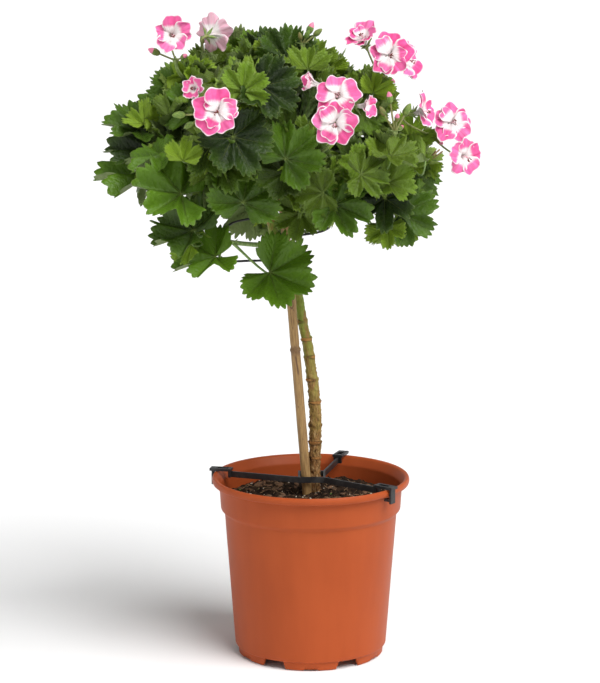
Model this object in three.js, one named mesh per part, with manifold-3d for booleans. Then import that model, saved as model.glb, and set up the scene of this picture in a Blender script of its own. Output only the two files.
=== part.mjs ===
// A regal pelargonium grown as a standard: a round leafy crown with pink and white blooms on one bare trunk,
// staked with a bamboo cane in a terracotta nursery pot. Millimetres, +Z up, the front of the plant faces -Y.

import * as THREE from 'three';
import { mergeVertices } from 'three/addons/utils/BufferGeometryUtils.js';
import Module from 'manifold-3d';

const wasm = await Module();
wasm.setup();

// Driving dimensions

const POT_AXIS_X = 21.5;          // the crown leans to the left of the pot, and the origin is under the whole
const POT_AXIS_Y = -2.3;
const GAP = 0.3;                  // clearance between pieces that touch

const POT_RIM_RADIUS = 94.5;
const POT_HEIGHT = 172;
const POT_BASE_RADIUS = 69.8;
const POT_SIDES = 30;
const POT_STEP = 360 / 6;         // degrees between two feet, and between two notches
const FIRST_FOOT = -90;
const FIRST_NOTCH = -60;
const NOTCH_ANGLE = 18;           // degrees of each notch between two feet
const NOTCH_HEIGHT = 7.4;
const FLOOR_Z = 8;
const FLOOR_THICKNESS = 2;

// The pot's wall as radius and height: under the floor, down the ring of feet, up the outside over the step, the
// collar and the rolled rim, and down the inside.

const POT_PROFILE = [
  [0, FLOOR_Z], [67.6, FLOOR_Z], [67.8, 0], [POT_BASE_RADIUS, 0], [70.4, 7.4], [72.6, 8.4], [82.3, 137],
  [85.9, 141], [87.4, 164.4], [93.4, 165], [POT_RIM_RADIUS, 168.5], [93.2, POT_HEIGHT], [90, 171],
  [85.4, 163], [84.2, 142], [80.4, 137],
  [70.9, FLOOR_Z + FLOOR_THICKNESS], [0, FLOOR_Z + FLOOR_THICKNESS],
];
const DRAIN_SLOT = { size: [9, 13, 6], place: [62, 0, 9] };
const FOOT_RECESS = { size: [10, 14, 2.4], place: [69, 0, 0] };

const SOIL_TOP = 150;
const SOIL_MOUND = 3;
const SOIL_ROUGHNESS = 1.6;
const SOIL_SIDE = [[70.4, 10.3], [79.9, 136.6], [83.9, SOIL_TOP - 1]];   // radius and height up the pot's wall
const SOIL_RINGS = [58, 26];      // radii of the rings that the mound's top is drawn through

const CANE_RADIUS = 4.5;
const CANE_FOOT = [7.5, 0, 25];
const CANE_TOP = [-26.4, 0, 437];
const CANE_SIDES = 10;
const CANE_STATIONS = [           // share of the length and radius, with the swollen node at two thirds
  [0, 4.3], [0.3, CANE_RADIUS], [0.634, CANE_RADIUS], [0.648, 5.1], [0.66, 4.4], [0.97, 4.2], [1, 4.0],
];

const LEAF_THICKNESS = 0.8;
const LEAF_CUP = 0.14;            // how far the edge rises over the junction, as a share of the length
const LEAF_PLEAT = 0.055;         // depth of the folds along the main veins
const LEAF_DROOP = 0.22;          // how far the tip hangs
const LOBE_STEP = 52;             // degrees between the main veins
const PETIOLE_RADIUS = 0.9;
const PETIOLE_SEAT = 2.4;         // from the junction to where the petiole meets the underside
const PETIOLE_ARCH = 0.45;        // how straight a petiole meets its blade, as a share of its reach
const PETIOLE_SHAPE = [1.3, 1.2, 1.1];
const STEM_RADIUS = 2.3;
const STEM_TAPER = 0.15;
const STEM_BEND = 0.6;            // where along its way a stem bends up, and how low it stays until then
const STEM_LIFT = 0.25;
const NODES_FROM = 0.45;          // stretch of a stem that carries its leaves
const NODES_TO = 0.97;
const GOLDEN_ANGLE = 137.5;

const PETAL_THICKNESS = 0.7;
const THROAT_LENGTH = 7;
const THROAT_BACK_RADIUS = 1.6;
const CALYX_LENGTH = 5.5;
const CALYX_RADIUS = 2.6;
const PEDICEL_RADIUS = 0.9;
const STALK_RADIUS = 1.5;
const HUB_RADIUS = 3.4;
const STALK_ARCH = 0.4;
const BUD_SHAPE = [[0.4, 0.22], [1, 0.066]];   // along a bud and its radius, as shares of its length
const BARE_LENGTH = 22;           // stalks that have dropped their bloom
const BARE_RADIUS = 0.7;

// Half outlines in polar form from the junction, in degrees from the tip and shares of the leaf's length: five
// toothed lobes on a grown leaf, with fewer teeth on a smaller one, and three lobes on a young one. Every second
// point, from the base, is on a spoke, and the points between stand out past the line between two spokes.

const GROWN_EDGE = [
  [0, 1.0], [14, 0.85], [26, 0.6], [38, 0.86], [52, 0.95], [66, 0.82], [79, 0.57], [102, 0.86], [146, 0.56],
];
const MIDDLE_EDGE = [[0, 1.0], [14, 0.84], [26, 0.6], [52, 0.93], [79, 0.57], [102, 0.84], [146, 0.54]];
const YOUNG_EDGE = [[0, 1.0], [27, 0.6], [56, 0.88], [104, 0.62]];
const GROWN_LENGTH = 33;
const YOUNG_LENGTH = 26;

// Half outline of a petal from its base: across and along, as shares of its length.

const PETAL_EDGE = [[0.07, 0.12], [0.45, 0.66], [0.25, 0.98]];
const INNER_PETAL_EDGE = [[0.09, 0.14], [0.45, 0.9]];
const PETAL_CURL = 0.5;           // how far the sides of a petal rise
const PETAL_BEND = 0.18;          // how far its end bends back
const PETAL_TILT = 0.1;           // how far one side of a petal stands over the other
const PETAL_ROOM = 0.95;          // share of its sector that a petal may fill
const CLOSED_LEAN = 22;           // lean of the petals from the axis of a closed bloom, and what opening adds
const OPENING = 62;
const INNER_LEAN = 0.62;          // lean of the inner petals as a share of the outer ones'
const INNER_LENGTH = 0.7;
const INNER_HEIGHT = 1;
const INNER_DEPTH = 3;
const PETAL_COUNT = 5;
const FIRST_PETAL = -90;
const FIRST_INNER_PETAL = -54;

// The trunk's route behind the cane: x, y, z and radius.

const TRUNK_ROUTE = [
  [4.5, 9, 95, 3.5], [4.3, 9, 150, 5.0], [3.9, 9, 178, 5.3], [4.4, 9, 208, 5.7], [4.4, 9, 231, 5.5],
  [2.8, 9, 253, 5.3], [0, 9, 275, 5.0], [-2.9, 9.5, 297, 4.8], [-6.5, 9.5, 312, 4.5], [-9.3, 10, 329, 4.3],
  [-11.5, 10.5, 344, 4.0], [-18, 11, 364, 4.0], [-27, 11, 384, 4.1], [-35, 10, 404, 4.4], [-38, 8, 423, 4.8],
  [-38, 7, 438, 5.0], [-38, 7, 446, 6.4], [-38, 7, 453, 4.0],
];
const TRUNK_SCARS = [188, 203, 220, 242, 264, 286, 303, 320];
const SCAR_PROFILE = [[-1.6, 0], [0.6, 0.9]];   // height from the scar and swelling
const TRUNK_SIDES = 6;

// Main branches inside the crown, from the trunk's head to these ends.

const BRANCH_START = [-38, 7, 446];
const BRANCH_ENDS = {
  left: [-92, -12, 452],
  right: [28, -8, 458],
  front: [-34, -58, 462],
  back: [-42, 66, 462],
  top: [-44, 4, 508],
};
const BRANCH_RADIUS = 3.6;
const BRANCH_TAPER = 0.3;
const BRANCH_BEND = 0.55;         // where along its way a branch bends up, and how much it has risen there
const BRANCH_LIFT = 0.2;

// Leafy stems: where each starts and where its shoot tip stands.

const STEMS = {
  low_left: { start: [-33, 9, 392], tip: [-104, -58, 412] },
  left: { start: ['left', 1.0], tip: [-138, -30, 468] },
  left_upper: { start: ['left', 0.72], tip: [-135, -2, 508] },
  upper_left: { start: ['top', 0.55], tip: [-112, 5, 545] },
  front_left: { start: ['front', 0.62], tip: [-88, -85, 488] },
  top_left: { start: ['top', 0.78], tip: [-72, -58, 540] },
  top: { start: ['top', 1.0], tip: [-38, 6, 560] },
  top_right: { start: ['top', 0.38], tip: [4, -22, 546] },
  front: { start: ['front', 1.0], tip: [-12, -82, 478] },
  front_low: { start: ['front', 0.82], tip: [18, -78, 446] },
  right: { start: ['right', 0.9], tip: [60, -76, 468] },
  right_low: { start: ['right', 0.6], tip: [72, -38, 424] },
  right_upper: { start: ['right', 0.75], tip: [52, -8, 530] },
  right_far: { start: ['right', 1.0], tip: [98, -12, 476] },
  back_low_right: { start: ['back', 0.5], tip: [70, 66, 452] },
  back_right: { start: ['back', 0.85], tip: [8, 118, 486] },
  back_left: { start: ['back', 1.0], tip: [-84, 118, 474] },
  back_low_left: { start: ['back', 0.66], tip: [-146, 64, 470] },
  back_top_right: { start: ['top', 0.66], tip: [14, 66, 540] },
  back_top_left: { start: ['top', 0.9], tip: [-82, 70, 546] },
  back_under: { start: ['back', 0.33], tip: [-36, 84, 418] },
};

// Leaves that show in the front view. Each row: junction x, y, z, length, the way the blade faces (degrees round the
// vertical, degrees above the horizon), and the tip's turn from straight down the slope, seen from its face.

const LEAVES = {
  low_left: [
    [-38, -45, 374, 43, -88, 26, 66],
    [-106, -88, 418, 41, -100, 38, -114],
    [-108, -80, 404, 22, -112, 20, -50],
    [-87, -72, 392, 40, -108, 66, -62],
  ],
  left: [
    [-148, -18, 463, 53, -112, 70, -75],
    [-116, -98, 452, 45, -100, 56, -84],
    [-134, -70, 484, 35, -100, 62, -95],
  ],
  left_upper: [
    [-149, -8, 486, 43, -100, 50, -86],
    [-159, -6, 503, 35, -95, 50, -88],
    [-154, -13, 508, 20, -100, 40, -121],
    [-111, -24, 522, 30, -100, 35, -82],
  ],
  upper_left: [
    [-133, 14, 527, 30, -92, 74, -90],
    [-122, -4, 534, 31, -100, 28, -130],
    [-123, 22, 541, 28, -120, 18, -150],
    [-92, 12, 556, 27, -90, 30, 178],
  ],
  front_left: [
    [-113, -116, 483, 21, -85, 15, 168],
    [-69, -110, 504, 38, -86, 22, 25],
    [-93, -104, 494, 29, -95, 26, 32],
    [-61, -94, 444, 39, -92, 22, 172],
  ],
  top_left: [
    [-60, -114, 544, 26, -80, 14, 175],
    [-87, -80, 548, 27, -92, 62, -124],
    [-43, -98, 548, 35, -84, 26, 55],
  ],
  top: [
    [-58, 38, 563, 29, -90, 8, 178],
    [-44, 20, 566, 30, -88, 12, 172],
    [-22, -14, 567, 33, -90, 12, 170],
  ],
  top_right: [
    [-3, -58, 560, 25, -90, 22, 180],
    [2, 0, 563, 25, -85, 10, 162],
    [18, 6, 556, 19, -85, 14, 168],
  ],
  front: [
    [-23, -108, 484, 37, -86, 22, 132],
    [4, -84, 462, 27, -90, 30, 178],
  ],
  front_low: [
    [-10, -70, 432, 27, -98, 16, -8],
    [20, -104, 443, 36, -88, 34, 75],
  ],
  right: [
    [43, -124, 472, 27, -80, 30, 80],
    [69, -100, 463, 26, -70, 50, 60],
    [70, -108, 487, 26, -90, 56, 55],
    [66, -76, 446, 32, -92, 30, 0],
  ],
  right_low: [
    [81, -58, 430, 36, -80, 16, 112],
    [69, -74, 421, 23, -92, 26, 4],
    [84, -46, 417, 19, -80, 30, 25],
  ],
  right_upper: [
    [50, -22, 537, 27, -90, 26, -140],
    [56, -50, 538, 20, -85, 20, 170],
  ],
  right_far: [
    [100, 6, 446, 17, -80, 20, 130],
    [102, -78, 480, 25, -90, 64, -85],
    [90, -40, 498, 25, -80, 12, 140],
  ],
};

// Rosettes of the stems that the front view hides: leaf count and turn of the first leaf.

const ROSETTES = {
  back_low_right: { count: 4, turn: 20, layer: -8 },
  back_right: { count: 4, turn: 75, layer: 6 },
  back_left: { count: 5, turn: 130, layer: -8 },
  back_low_left: { count: 4, turn: 60, layer: 10 },
  back_top_right: { count: 4, turn: 60, layer: -8 },
  back_top_left: { count: 4, turn: 200, layer: 6 },
  back_under: { count: 4, turn: 90, layer: 0 },
};
const CROWN_CENTRE = [-40, 5, 485];
const CROWN_CURVE = 140;          // radius of the surface that a rosette's leaves lie on
const ROSETTE_SPREAD = { first: 10, step: 5, vary: 3 };
const ROSETTE_HEIGHT = { first: 10, step: -4 };
const ROSETTE_LENGTH = { first: 28, step: 2.5, vary: 3 };
const ROSETTE_TILT = 0.25;
const SEED = 20517;

// Flower stalks: the stem each grows from, its hub, its buds (tip x, y, z and length) and its bare pedicels.

const UMBELS = {
  far_left: { stem: 'upper_left', hub: [-124, -18, 566], buds: [[-149, -24, 577, 12], [-113, -30, 572, 9]] },
  upper_left: { stem: 'upper_left', hub: [-99, 0, 572], buds: [[-101, -6, 588, 8]] },
  front_left: { stem: 'front_left', hub: [-92, -112, 524], buds: [[-122, -124, 524, 12], [-112, -120, 512, 10]] },
  top: {
    stem: 'top_right',
    hub: [-8, -18, 580],
    buds: [[-11, -22, 592, 8], [2, -18, 601, 12], [10, -20, 595, 10], [-2, -26, 594, 9]],
  },
  front: { stem: 'front', hub: [24, -108, 516], buds: [[2, -128, 518, 9]] },
  upper_right: { stem: 'right_upper', hub: [60, -38, 556], buds: [[76, -48, 548, 9]] },
  right: {
    stem: 'right',
    hub: [74, -92, 506],
    buds: [[68, -98, 543, 11], [60, -98, 530, 10], [88, -90, 532, 12], [76, -104, 524, 9], [82, -84, 512, 8]],
  },
  far_right: { stem: 'right_far', hub: [108, -40, 500], buds: [[120, -48, 492, 8]] },
  bare: { stem: 'right_far', hub: [104, -18, 470], buds: [], bare: 5 },
  back: { stem: 'back_right', hub: [-10, 136, 520], buds: [[-22, 148, 536, 10]] },
  back_left: { stem: 'back_left', hub: [-106, 108, 514], buds: [[-122, 106, 530, 10]] },
  back_right: { stem: 'back_low_right', hub: [46, 106, 500], buds: [[56, 116, 518, 10]] },
};

// Blooms: their flower stalk, throat x, y, z, petal length, the way the bloom faces, how open it is (1 is flat), and
// the number of petals in its inner layer.

const BLOOMS = [
  ['far_left', -127, -28, 590, 19, -75, 6, 0.7, 0],
  ['upper_left', -92, -10, 590, 20, 62, 12, 0.6, 3],
  ['front_left', -102, -124, 547, 13, -115, 12, 0.4, 0],
  ['front_left', -82, -140, 528, 20.5, -90, 8, 0.9, 3],
  ['front', 22, -130, 541, 21, -90, 24, 0.95, 0],
  ['front', 20, -150, 519, 20, -95, 0, 0.85, 3],
  ['front', 3, -120, 551, 13, 198, 14, 0.12, 0],
  ['front', 45, -122, 532, 13, -28, 0, 0.3, 0],
  ['upper_right', 70, -62, 573, 21, -84, 10, 0.9, 3],
  ['upper_right', 47, -50, 586, 18, -120, 50, 0.45, 2],
  ['upper_right', 86, -22, 566, 18, -35, 10, 0.7, 0],
  ['far_right', 98, -72, 523, 18, -24, 14, 0.5, 0],
  ['far_right', 127, -54, 512, 20, -74, 20, 0.9, 3],
  ['far_right', 138, -58, 482, 19, -58, -4, 0.75, 0],
  ['back', -6, 152, 534, 20, 84, 20, 0.85, 3],
  ['back_left', -108, 116, 528, 20, 120, 16, 0.85, 0],
  ['back_right', 44, 128, 512, 20, 66, 16, 0.85, 3],
];

// The black wire loop under the crown, between its two windings round the cane.

const WIRE_RADIUS = 1.1;
const WIRE_ROUTE = [
  [-40, -6, 379.5], [-58, -8, 379.5], [-77, -8, 379.5], [-88, 2, 385], [-90, 16, 393], [-86, 30, 400],
  [-79, 44, 406], [-70, 56, 409], [-48, 70, 411], [-20, 76, 411], [6, 66, 409], [18, 44, 406],
  [12, 22, 404], [0, 8, 403],
];
const LOW_WINDING = { height: 376.3, turns: 1.15, start: 300 };
const HIGH_WINDING = { height: 401.5, turns: 1.15, start: 20 };
const WINDING_SLACK = 0.25;
const WINDING_RADIUS = CANE_RADIUS + GAP + WINDING_SLACK + WIRE_RADIUS;
const WINDING_PITCH = 2.6;
const WINDING_STEPS = 8;          // stations in each turn

const TIE_Z = 432;
const TIE_RADIUS = 5.4;
const TIE_THICKNESS = 1.2;
const TIE_WIDTH = 5;

// The bridge across the rim: the angles of its three hooks, and its strip.

const BRIDGE_ANGLES = { left: 168, right: -38, back: 70 };
const BRIDGE_Z = 169;
const BRIDGE_STRIP_HEIGHT = 5.6;
const BRIDGE_STRIP_THICKNESS = 2;
const BRIDGE_LOOP = { left: -11, right: 13, front: -8, back: 18 };
const BRIDGE_REACH = 79;          // radius where a strip ends in its hook's plate

// A hook's boxes, with the rim along Y and the pot's axis at the origin: the top plate, the leg outside the rim, the
// foot that grips the collar, the plate that the strip ends in, and the slot cut through the top.

const HOOK_TOP = POT_HEIGHT + GAP;
const HOOK_BOXES = [
  { size: [21, 10, 2.4], place: [88, 0, HOOK_TOP + 1.2] },
  { size: [2, 7, 16], place: [POT_RIM_RADIUS + GAP + 1.1, 0, HOOK_TOP - 5.6] },
  { size: [7, 7, 2.4], place: [92.6, 0, 161.8] },
  { size: [2.4, 8, BRIDGE_STRIP_HEIGHT + 2], place: [79.2, 0, BRIDGE_Z + 1] },
];
const HOOK_SLOT = { size: [11, 5, 6], place: [86.4, 0, POT_HEIGHT + 1] };

const degrees = THREE.MathUtils.degToRad;
const vector = (point) => new THREE.Vector3(point[0], point[1], point[2]);
const MERGE_DISTANCE = 1e-4;

function makeRandom(seed) {
  let state = seed;
  return () => {
    state = (1664525 * state + 1013904223) % 4294967296;
    return state / 4294967296;
  };
}

// Solids: a closed geometry becomes a manifold, and a manifold becomes a geometry again.

function toSolid(geometry) {
  const bare = geometry.index ? geometry.toNonIndexed() : geometry.clone();
  bare.deleteAttribute('normal');
  bare.deleteAttribute('uv');
  const merged = mergeVertices(bare, MERGE_DISTANCE);
  const index = merged.index.array;
  const triangles = [];
  for (let i = 0; i < index.length; i += 3) {
    const [a, b, c] = [index[i], index[i + 1], index[i + 2]];
    if (a !== b && b !== c && c !== a) {
      triangles.push(a, b, c);
    }
  }
  const position = merged.attributes.position;
  if (signedVolume(position, triangles) < 0) {
    triangles.reverse();
  }
  const mesh = new wasm.Mesh({
    numProp: 3,
    vertProperties: new Float32Array(position.array),
    triVerts: new Uint32Array(triangles),
  });
  return new wasm.Manifold(mesh);
}

function signedVolume(position, triangles) {
  const [a, b, c] = [new THREE.Vector3(), new THREE.Vector3(), new THREE.Vector3()];
  let volume = 0;
  for (let i = 0; i < triangles.length; i += 3) {
    a.fromBufferAttribute(position, triangles[i]);
    b.fromBufferAttribute(position, triangles[i + 1]);
    c.fromBufferAttribute(position, triangles[i + 2]);
    volume += a.dot(b.cross(c));
  }
  return volume;
}

function toGeometry(solid) {
  const mesh = solid.getMesh();
  const geometry = new THREE.BufferGeometry();
  geometry.setAttribute('position', new THREE.BufferAttribute(new Float32Array(mesh.vertProperties), 3));
  geometry.setIndex(new THREE.BufferAttribute(new Uint32Array(mesh.triVerts), 1));
  return geometry;
}

function largestPiece(solid) {
  const pieces = solid.decompose();
  pieces.sort((a, b) => b.volume() - a.volume());
  return pieces[0];
}

function fuse(solids) {
  return wasm.Manifold.union(solids);
}

function box({ size, place }, turn) {
  const geometry = new THREE.BoxGeometry(...size);
  geometry.translate(...place);
  geometry.rotateZ(degrees(turn));
  return toSolid(geometry);
}

function lathe(profile, sides) {
  const points = profile.map(([radius, height]) => new THREE.Vector2(radius, height));
  const geometry = new THREE.LatheGeometry(points, sides);
  geometry.rotateX(Math.PI / 2);
  return geometry;
}

// A tube of changing radius through a row of points, with flat ends.

function tube(points, radii, sides, firstAcross = null) {
  const last = points.length - 1;
  const vertices = [];
  let across = firstAcross;
  points.forEach((point, i) => {
    const along = points[Math.min(i + 1, last)].clone().sub(points[Math.max(i - 1, 0)]).normalize();
    if (across === null) {
      across = Math.abs(along.z) < 0.8 ? new THREE.Vector3(0, 0, 1) : new THREE.Vector3(1, 0, 0);
    }
    across = across.clone().addScaledVector(along, -across.dot(along)).normalize();
    const third = along.clone().cross(across);
    for (let k = 0; k < sides; k += 1) {
      const angle = (2 * Math.PI * k) / sides;
      const place = point.clone().addScaledVector(across, radii[i] * Math.cos(angle));
      place.addScaledVector(third, radii[i] * Math.sin(angle));
      vertices.push(place);
    }
  });
  const triangles = [];
  for (let i = 0; i < last; i += 1) {
    for (let k = 0; k < sides; k += 1) {
      const [a, b] = [i * sides + k, i * sides + ((k + 1) % sides)];
      triangles.push(a, b, b + sides, a, b + sides, a + sides);
    }
  }
  for (let k = 1; k < sides - 1; k += 1) {
    triangles.push(0, k + 1, k);
    triangles.push(last * sides, last * sides + k, last * sides + k + 1);
  }
  return solidFromFaces(vertices, triangles);
}

function solidFromFaces(vertices, triangles) {
  const geometry = new THREE.BufferGeometry().setFromPoints(vertices);
  geometry.setIndex(triangles);
  return toSolid(geometry);
}

// A thin closed blade, the same on both faces, with a wall round it. Spokes run from the outline's first point to
// every second one, and the points between them are the tips of small triangles along the edge.

function blade(outline, place, thickness) {
  const count = outline.length;
  const faces = [thickness / 2, -thickness / 2];
  const vertices = faces.flatMap((offset) => outline.map(([a, b]) => place(a, b, offset)));
  const triangles = [];
  for (let i = 1; i < count - 2; i += 2) {
    triangles.push(0, i, i + 2, i, i + 1, i + 2);
    triangles.push(count, count + i + 2, count + i, count + i, count + i + 2, count + i + 1);
  }
  for (let i = 0; i < count; i += 1) {
    const next = (i + 1) % count;
    triangles.push(i, count + i, count + next, i, count + next, next);
  }
  return solidFromFaces(vertices, triangles);
}

function bezier(start, control, end, steps) {
  const curve = new THREE.QuadraticBezierCurve3(start, control, end);
  return curve.getPoints(steps);
}

function alongPoints(points, share) {
  const place = share * (points.length - 1);
  const low = Math.min(Math.floor(place), points.length - 2);
  return points[low].clone().lerp(points[low + 1], place - low);
}

// Leaves

// The directions of a surface that faces one way, with its tip turned from straight down its slope.

function facing(azimuth, elevation, spin) {
  const [az, el, turn] = [degrees(azimuth), degrees(elevation), degrees(spin)];
  const normal = new THREE.Vector3(Math.cos(az) * Math.cos(el), Math.sin(az) * Math.cos(el), Math.sin(el));
  const down = new THREE.Vector3(Math.cos(az) * Math.sin(el), Math.sin(az) * Math.sin(el), -Math.cos(el));
  const right = new THREE.Vector3(-Math.sin(az), Math.cos(az), 0);
  const tip = down.multiplyScalar(Math.cos(turn)).addScaledVector(right, Math.sin(turn));
  return { normal, tip, side: tip.clone().cross(normal) };
}

function leafOutline(half) {
  const polar = [...half.slice(1).reverse().map(([angle, share]) => [-angle, share]), ...half];
  const points = polar.map(([angle, share]) => [share * Math.sin(degrees(angle)), share * Math.cos(degrees(angle))]);
  return [[0, 0], ...points];
}

// Height of the blade over its own plane: a cup, a fold along each main vein and a hanging tip.

function leafRelief(a, b) {
  const share = Math.hypot(a, b);
  const angle = THREE.MathUtils.radToDeg(Math.atan2(a, b));
  const fold = Math.cos(degrees((angle * 360) / LOBE_STEP));
  const droop = Math.max(b, 0) ** 2;
  return LEAF_CUP * share ** 2 - LEAF_PLEAT * share * fold - LEAF_DROOP * droop;
}

function leafEdge(length) {
  if (length >= GROWN_LENGTH) {
    return GROWN_EDGE;
  }
  return length >= YOUNG_LENGTH ? MIDDLE_EDGE : YOUNG_EDGE;
}

function leafBlade(leaf) {
  const outline = leafOutline(leafEdge(leaf.length));
  const place = (a, b, offset) => leaf.junction.clone()
    .addScaledVector(leaf.side, a * leaf.length)
    .addScaledVector(leaf.tip, b * leaf.length)
    .addScaledVector(leaf.normal, leafRelief(a, b) * leaf.length + offset);
  return blade(outline, place, LEAF_THICKNESS);
}

// A petiole ends inside the blade, in the wide triangle beside the junction.

function petiole(leaf, start) {
  const reach = start.distanceTo(leaf.junction);
  const half = leafEdge(leaf.length);
  const seat = degrees((half[half.length - 1][0] + half[half.length - 3][0]) / 2);
  const end = leaf.junction.clone()
    .addScaledVector(leaf.side, PETIOLE_SEAT * Math.sin(seat))
    .addScaledVector(leaf.tip, PETIOLE_SEAT * Math.cos(seat));
  const control = end.clone().addScaledVector(leaf.normal, -PETIOLE_ARCH * reach);
  const points = bezier(start, control, end, PETIOLE_SHAPE.length - 1);
  return tube(points, PETIOLE_SHAPE.map((share) => PETIOLE_RADIUS * share), 3);
}

function tableLeaves(rows = []) {
  return rows.map(([x, y, z, length, azimuth, elevation, spin]) => (
    { junction: new THREE.Vector3(x, y, z), length, ...facing(azimuth, elevation, spin) }
  ));
}

const grade = ({ first, step }, i) => first + step * i;

// Leaves set round a shoot tip by the golden angle, the oldest lowest and widest.

function rosetteLeaves(tip, rosette, random) {
  const axis = tip.clone().sub(vector(CROWN_CENTRE)).normalize();
  const u = new THREE.Vector3(0, 0, 1).cross(axis).normalize();
  const v = axis.clone().cross(u);
  return Array.from({ length: rosette.count }, (_, i) => {
    const angle = degrees(rosette.turn + GOLDEN_ANGLE * i);
    const radial = u.clone().multiplyScalar(Math.cos(angle)).addScaledVector(v, Math.sin(angle));
    const spread = grade(ROSETTE_SPREAD, i) + ROSETTE_SPREAD.vary * random();
    const height = rosette.layer + grade(ROSETTE_HEIGHT, i) - spread ** 2 / (2 * CROWN_CURVE);
    const junction = tip.clone().addScaledVector(radial, spread).addScaledVector(axis, height);
    const tilt = spread / CROWN_CURVE + ROSETTE_TILT * random();
    const normal = axis.clone().addScaledVector(radial, tilt).normalize();
    const outward = radial.addScaledVector(normal, -radial.dot(normal)).normalize();
    const length = grade(ROSETTE_LENGTH, i) + ROSETTE_LENGTH.vary * random();
    return { junction, length, normal, tip: outward, side: outward.clone().cross(normal) };
  });
}

// Flower stalks, buds and blooms

// A stalk bends from its start towards the way it ends, and carries a bud, a calyx or nothing: each station of the
// head is a distance past the stalk's end and a radius.

function stalk(start, end, way, radius, head = []) {
  const control = end.clone().addScaledVector(way, -STALK_ARCH * start.distanceTo(end));
  const points = [start, control.lerp(start.clone().lerp(end, 0.5), 0.5), end];
  const radii = [radius, radius, radius];
  head.forEach(([beyond, width]) => {
    points.push(end.clone().addScaledVector(way, beyond));
    radii.push(width);
  });
  return tube(points, radii, head.length > 0 ? 4 : 3);
}

// Bare pedicels fan out to the right of their hub.

function bareWay(angle) {
  return new THREE.Vector3(0.5 + 0.5 * Math.cos(angle), 0.6 * Math.sin(angle) - 0.1, 0.75).normalize();
}

function umbelSolids(name, umbel, stemPoints) {
  const hub = vector(umbel.hub);
  const root = stemPoints[stemPoints.length - 1];
  const up = new THREE.Vector3(0, 0, 1);
  const solids = [stalk(root, hub, up, STALK_RADIUS)];
  solids.push(toSolid(new THREE.OctahedronGeometry(HUB_RADIUS).translate(hub.x, hub.y, hub.z)));
  umbel.buds.forEach(([x, y, z, length]) => {
    const tip = new THREE.Vector3(x, y, z);
    const way = tip.clone().sub(hub).normalize();
    const base = tip.clone().addScaledVector(way, -length);
    const head = BUD_SHAPE.map(([along, width]) => [along * length, width * length]);
    solids.push(stalk(hub, base, way, PEDICEL_RADIUS, head));
  });
  for (let i = 0; i < (umbel.bare ?? 0); i += 1) {
    const way = bareWay(degrees(GOLDEN_ANGLE * i));
    solids.push(stalk(hub, hub.clone().addScaledVector(way, BARE_LENGTH), way, BARE_RADIUS));
  }
  BLOOMS.filter((row) => row[0] === name).forEach((row) => {
    const bloom = bloomPlace(row);
    const calyx = bloom.throat.clone().addScaledVector(bloom.normal, -THROAT_LENGTH - GAP - CALYX_LENGTH);
    solids.push(stalk(hub, calyx, bloom.normal, PEDICEL_RADIUS, [[CALYX_LENGTH, CALYX_RADIUS]]));
  });
  return solids;
}

function bloomPlace([, x, y, z, length, azimuth, elevation, open, inner]) {
  return { throat: new THREE.Vector3(x, y, z), length, open, inner, ...facing(azimuth, elevation, 0) };
}

// A whorl of petals on a short tube. Each petal leans out from the bloom's axis inside its own sector, with its sides
// curled up, one side a little over the other, and its end bent back. The tube tapers to a ring at its back.

function whorl(bloom, { count, edge, turn, lean, length, height, depth }) {
  const [out, up] = [Math.sin(degrees(lean)), Math.cos(degrees(lean))];
  const mirror = ([a, b]) => [-a, b];
  const outline = [mirror(edge[0]), ...edge, ...edge.slice(1).reverse().map(mirror)];
  const size = outline.length;
  const centre = bloom.throat.clone().addScaledVector(bloom.normal, height);
  const frames = Array.from({ length: count }, (_, i) => {
    const angle = degrees(turn + (360 * i) / count);
    const radial = bloom.side.clone().multiplyScalar(Math.cos(angle)).addScaledVector(bloom.tip, Math.sin(angle));
    return { radial, cross: bloom.normal.clone().cross(radial) };
  });
  const place = ({ radial, cross }, [a, b], offset) => {
    const rise = (PETAL_CURL * a * a - PETAL_BEND * b * b + PETAL_TILT * a) * length + offset;
    const reach = b * length * out - rise * up;
    const room = PETAL_ROOM * Math.tan(Math.PI / count) * reach;
    return centre.clone()
      .addScaledVector(radial, reach)
      .addScaledVector(cross, THREE.MathUtils.clamp(a * length, -room, room))
      .addScaledVector(bloom.normal, b * length * up + rise * out);
  };
  const face = (offset) => frames.flatMap((frame) => outline.map((point) => place(frame, point, offset)));
  const back = frames.map(({ radial }) => centre.clone()
    .addScaledVector(radial, THROAT_BACK_RADIUS)
    .addScaledVector(bloom.normal, -depth));
  const vertices = [...face(PETAL_THICKNESS / 2), ...face(-PETAL_THICKNESS / 2), ...back];
  const top = (i, k) => ((i + count) % count) * size + k;
  const low = (i, k) => count * size + top(i, k);
  const end = (i) => 2 * count * size + (i % count);
  const triangles = [];
  const wall = (k, l, lowK, lowL) => triangles.push(k, lowK, lowL, k, lowL, l);
  for (let i = 0; i < count; i += 1) {
    const corners = [[0, 1, 2], [0, 2, size - 1]];
    for (let k = 2; k < size - 2; k += 1) {
      corners.push([size - 1, k, k + 1]);
    }
    corners.forEach(([a, b, c]) => {
      triangles.push(top(i, a), top(i, b), top(i, c), low(i, a), low(i, c), low(i, b));
    });
    for (let k = 1; k < size; k += 1) {
      const next = (k + 1) % size;
      wall(top(i, k), top(i, next), low(i, k), low(i, next));
    }
    wall(top(i, 0), top(i - 1, 1), low(i, 0), low(i - 1, 1));
    triangles.push(low(i, 0), low(i, 1), end(i));
    triangles.push(low(i, 1), low(i + 1, 0), end(i + 1), low(i, 1), end(i + 1), end(i));
  }
  const rim = frames.flatMap((_, i) => [top(-i, 1), top(-i, 0)]);
  for (let k = 1; k < rim.length - 1; k += 1) {
    triangles.push(rim[0], rim[k], rim[k + 1]);
  }
  for (let i = 1; i < count - 1; i += 1) {
    triangles.push(end(0), end(i), end(i + 1));
  }
  return solidFromFaces(vertices, triangles);
}

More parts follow.
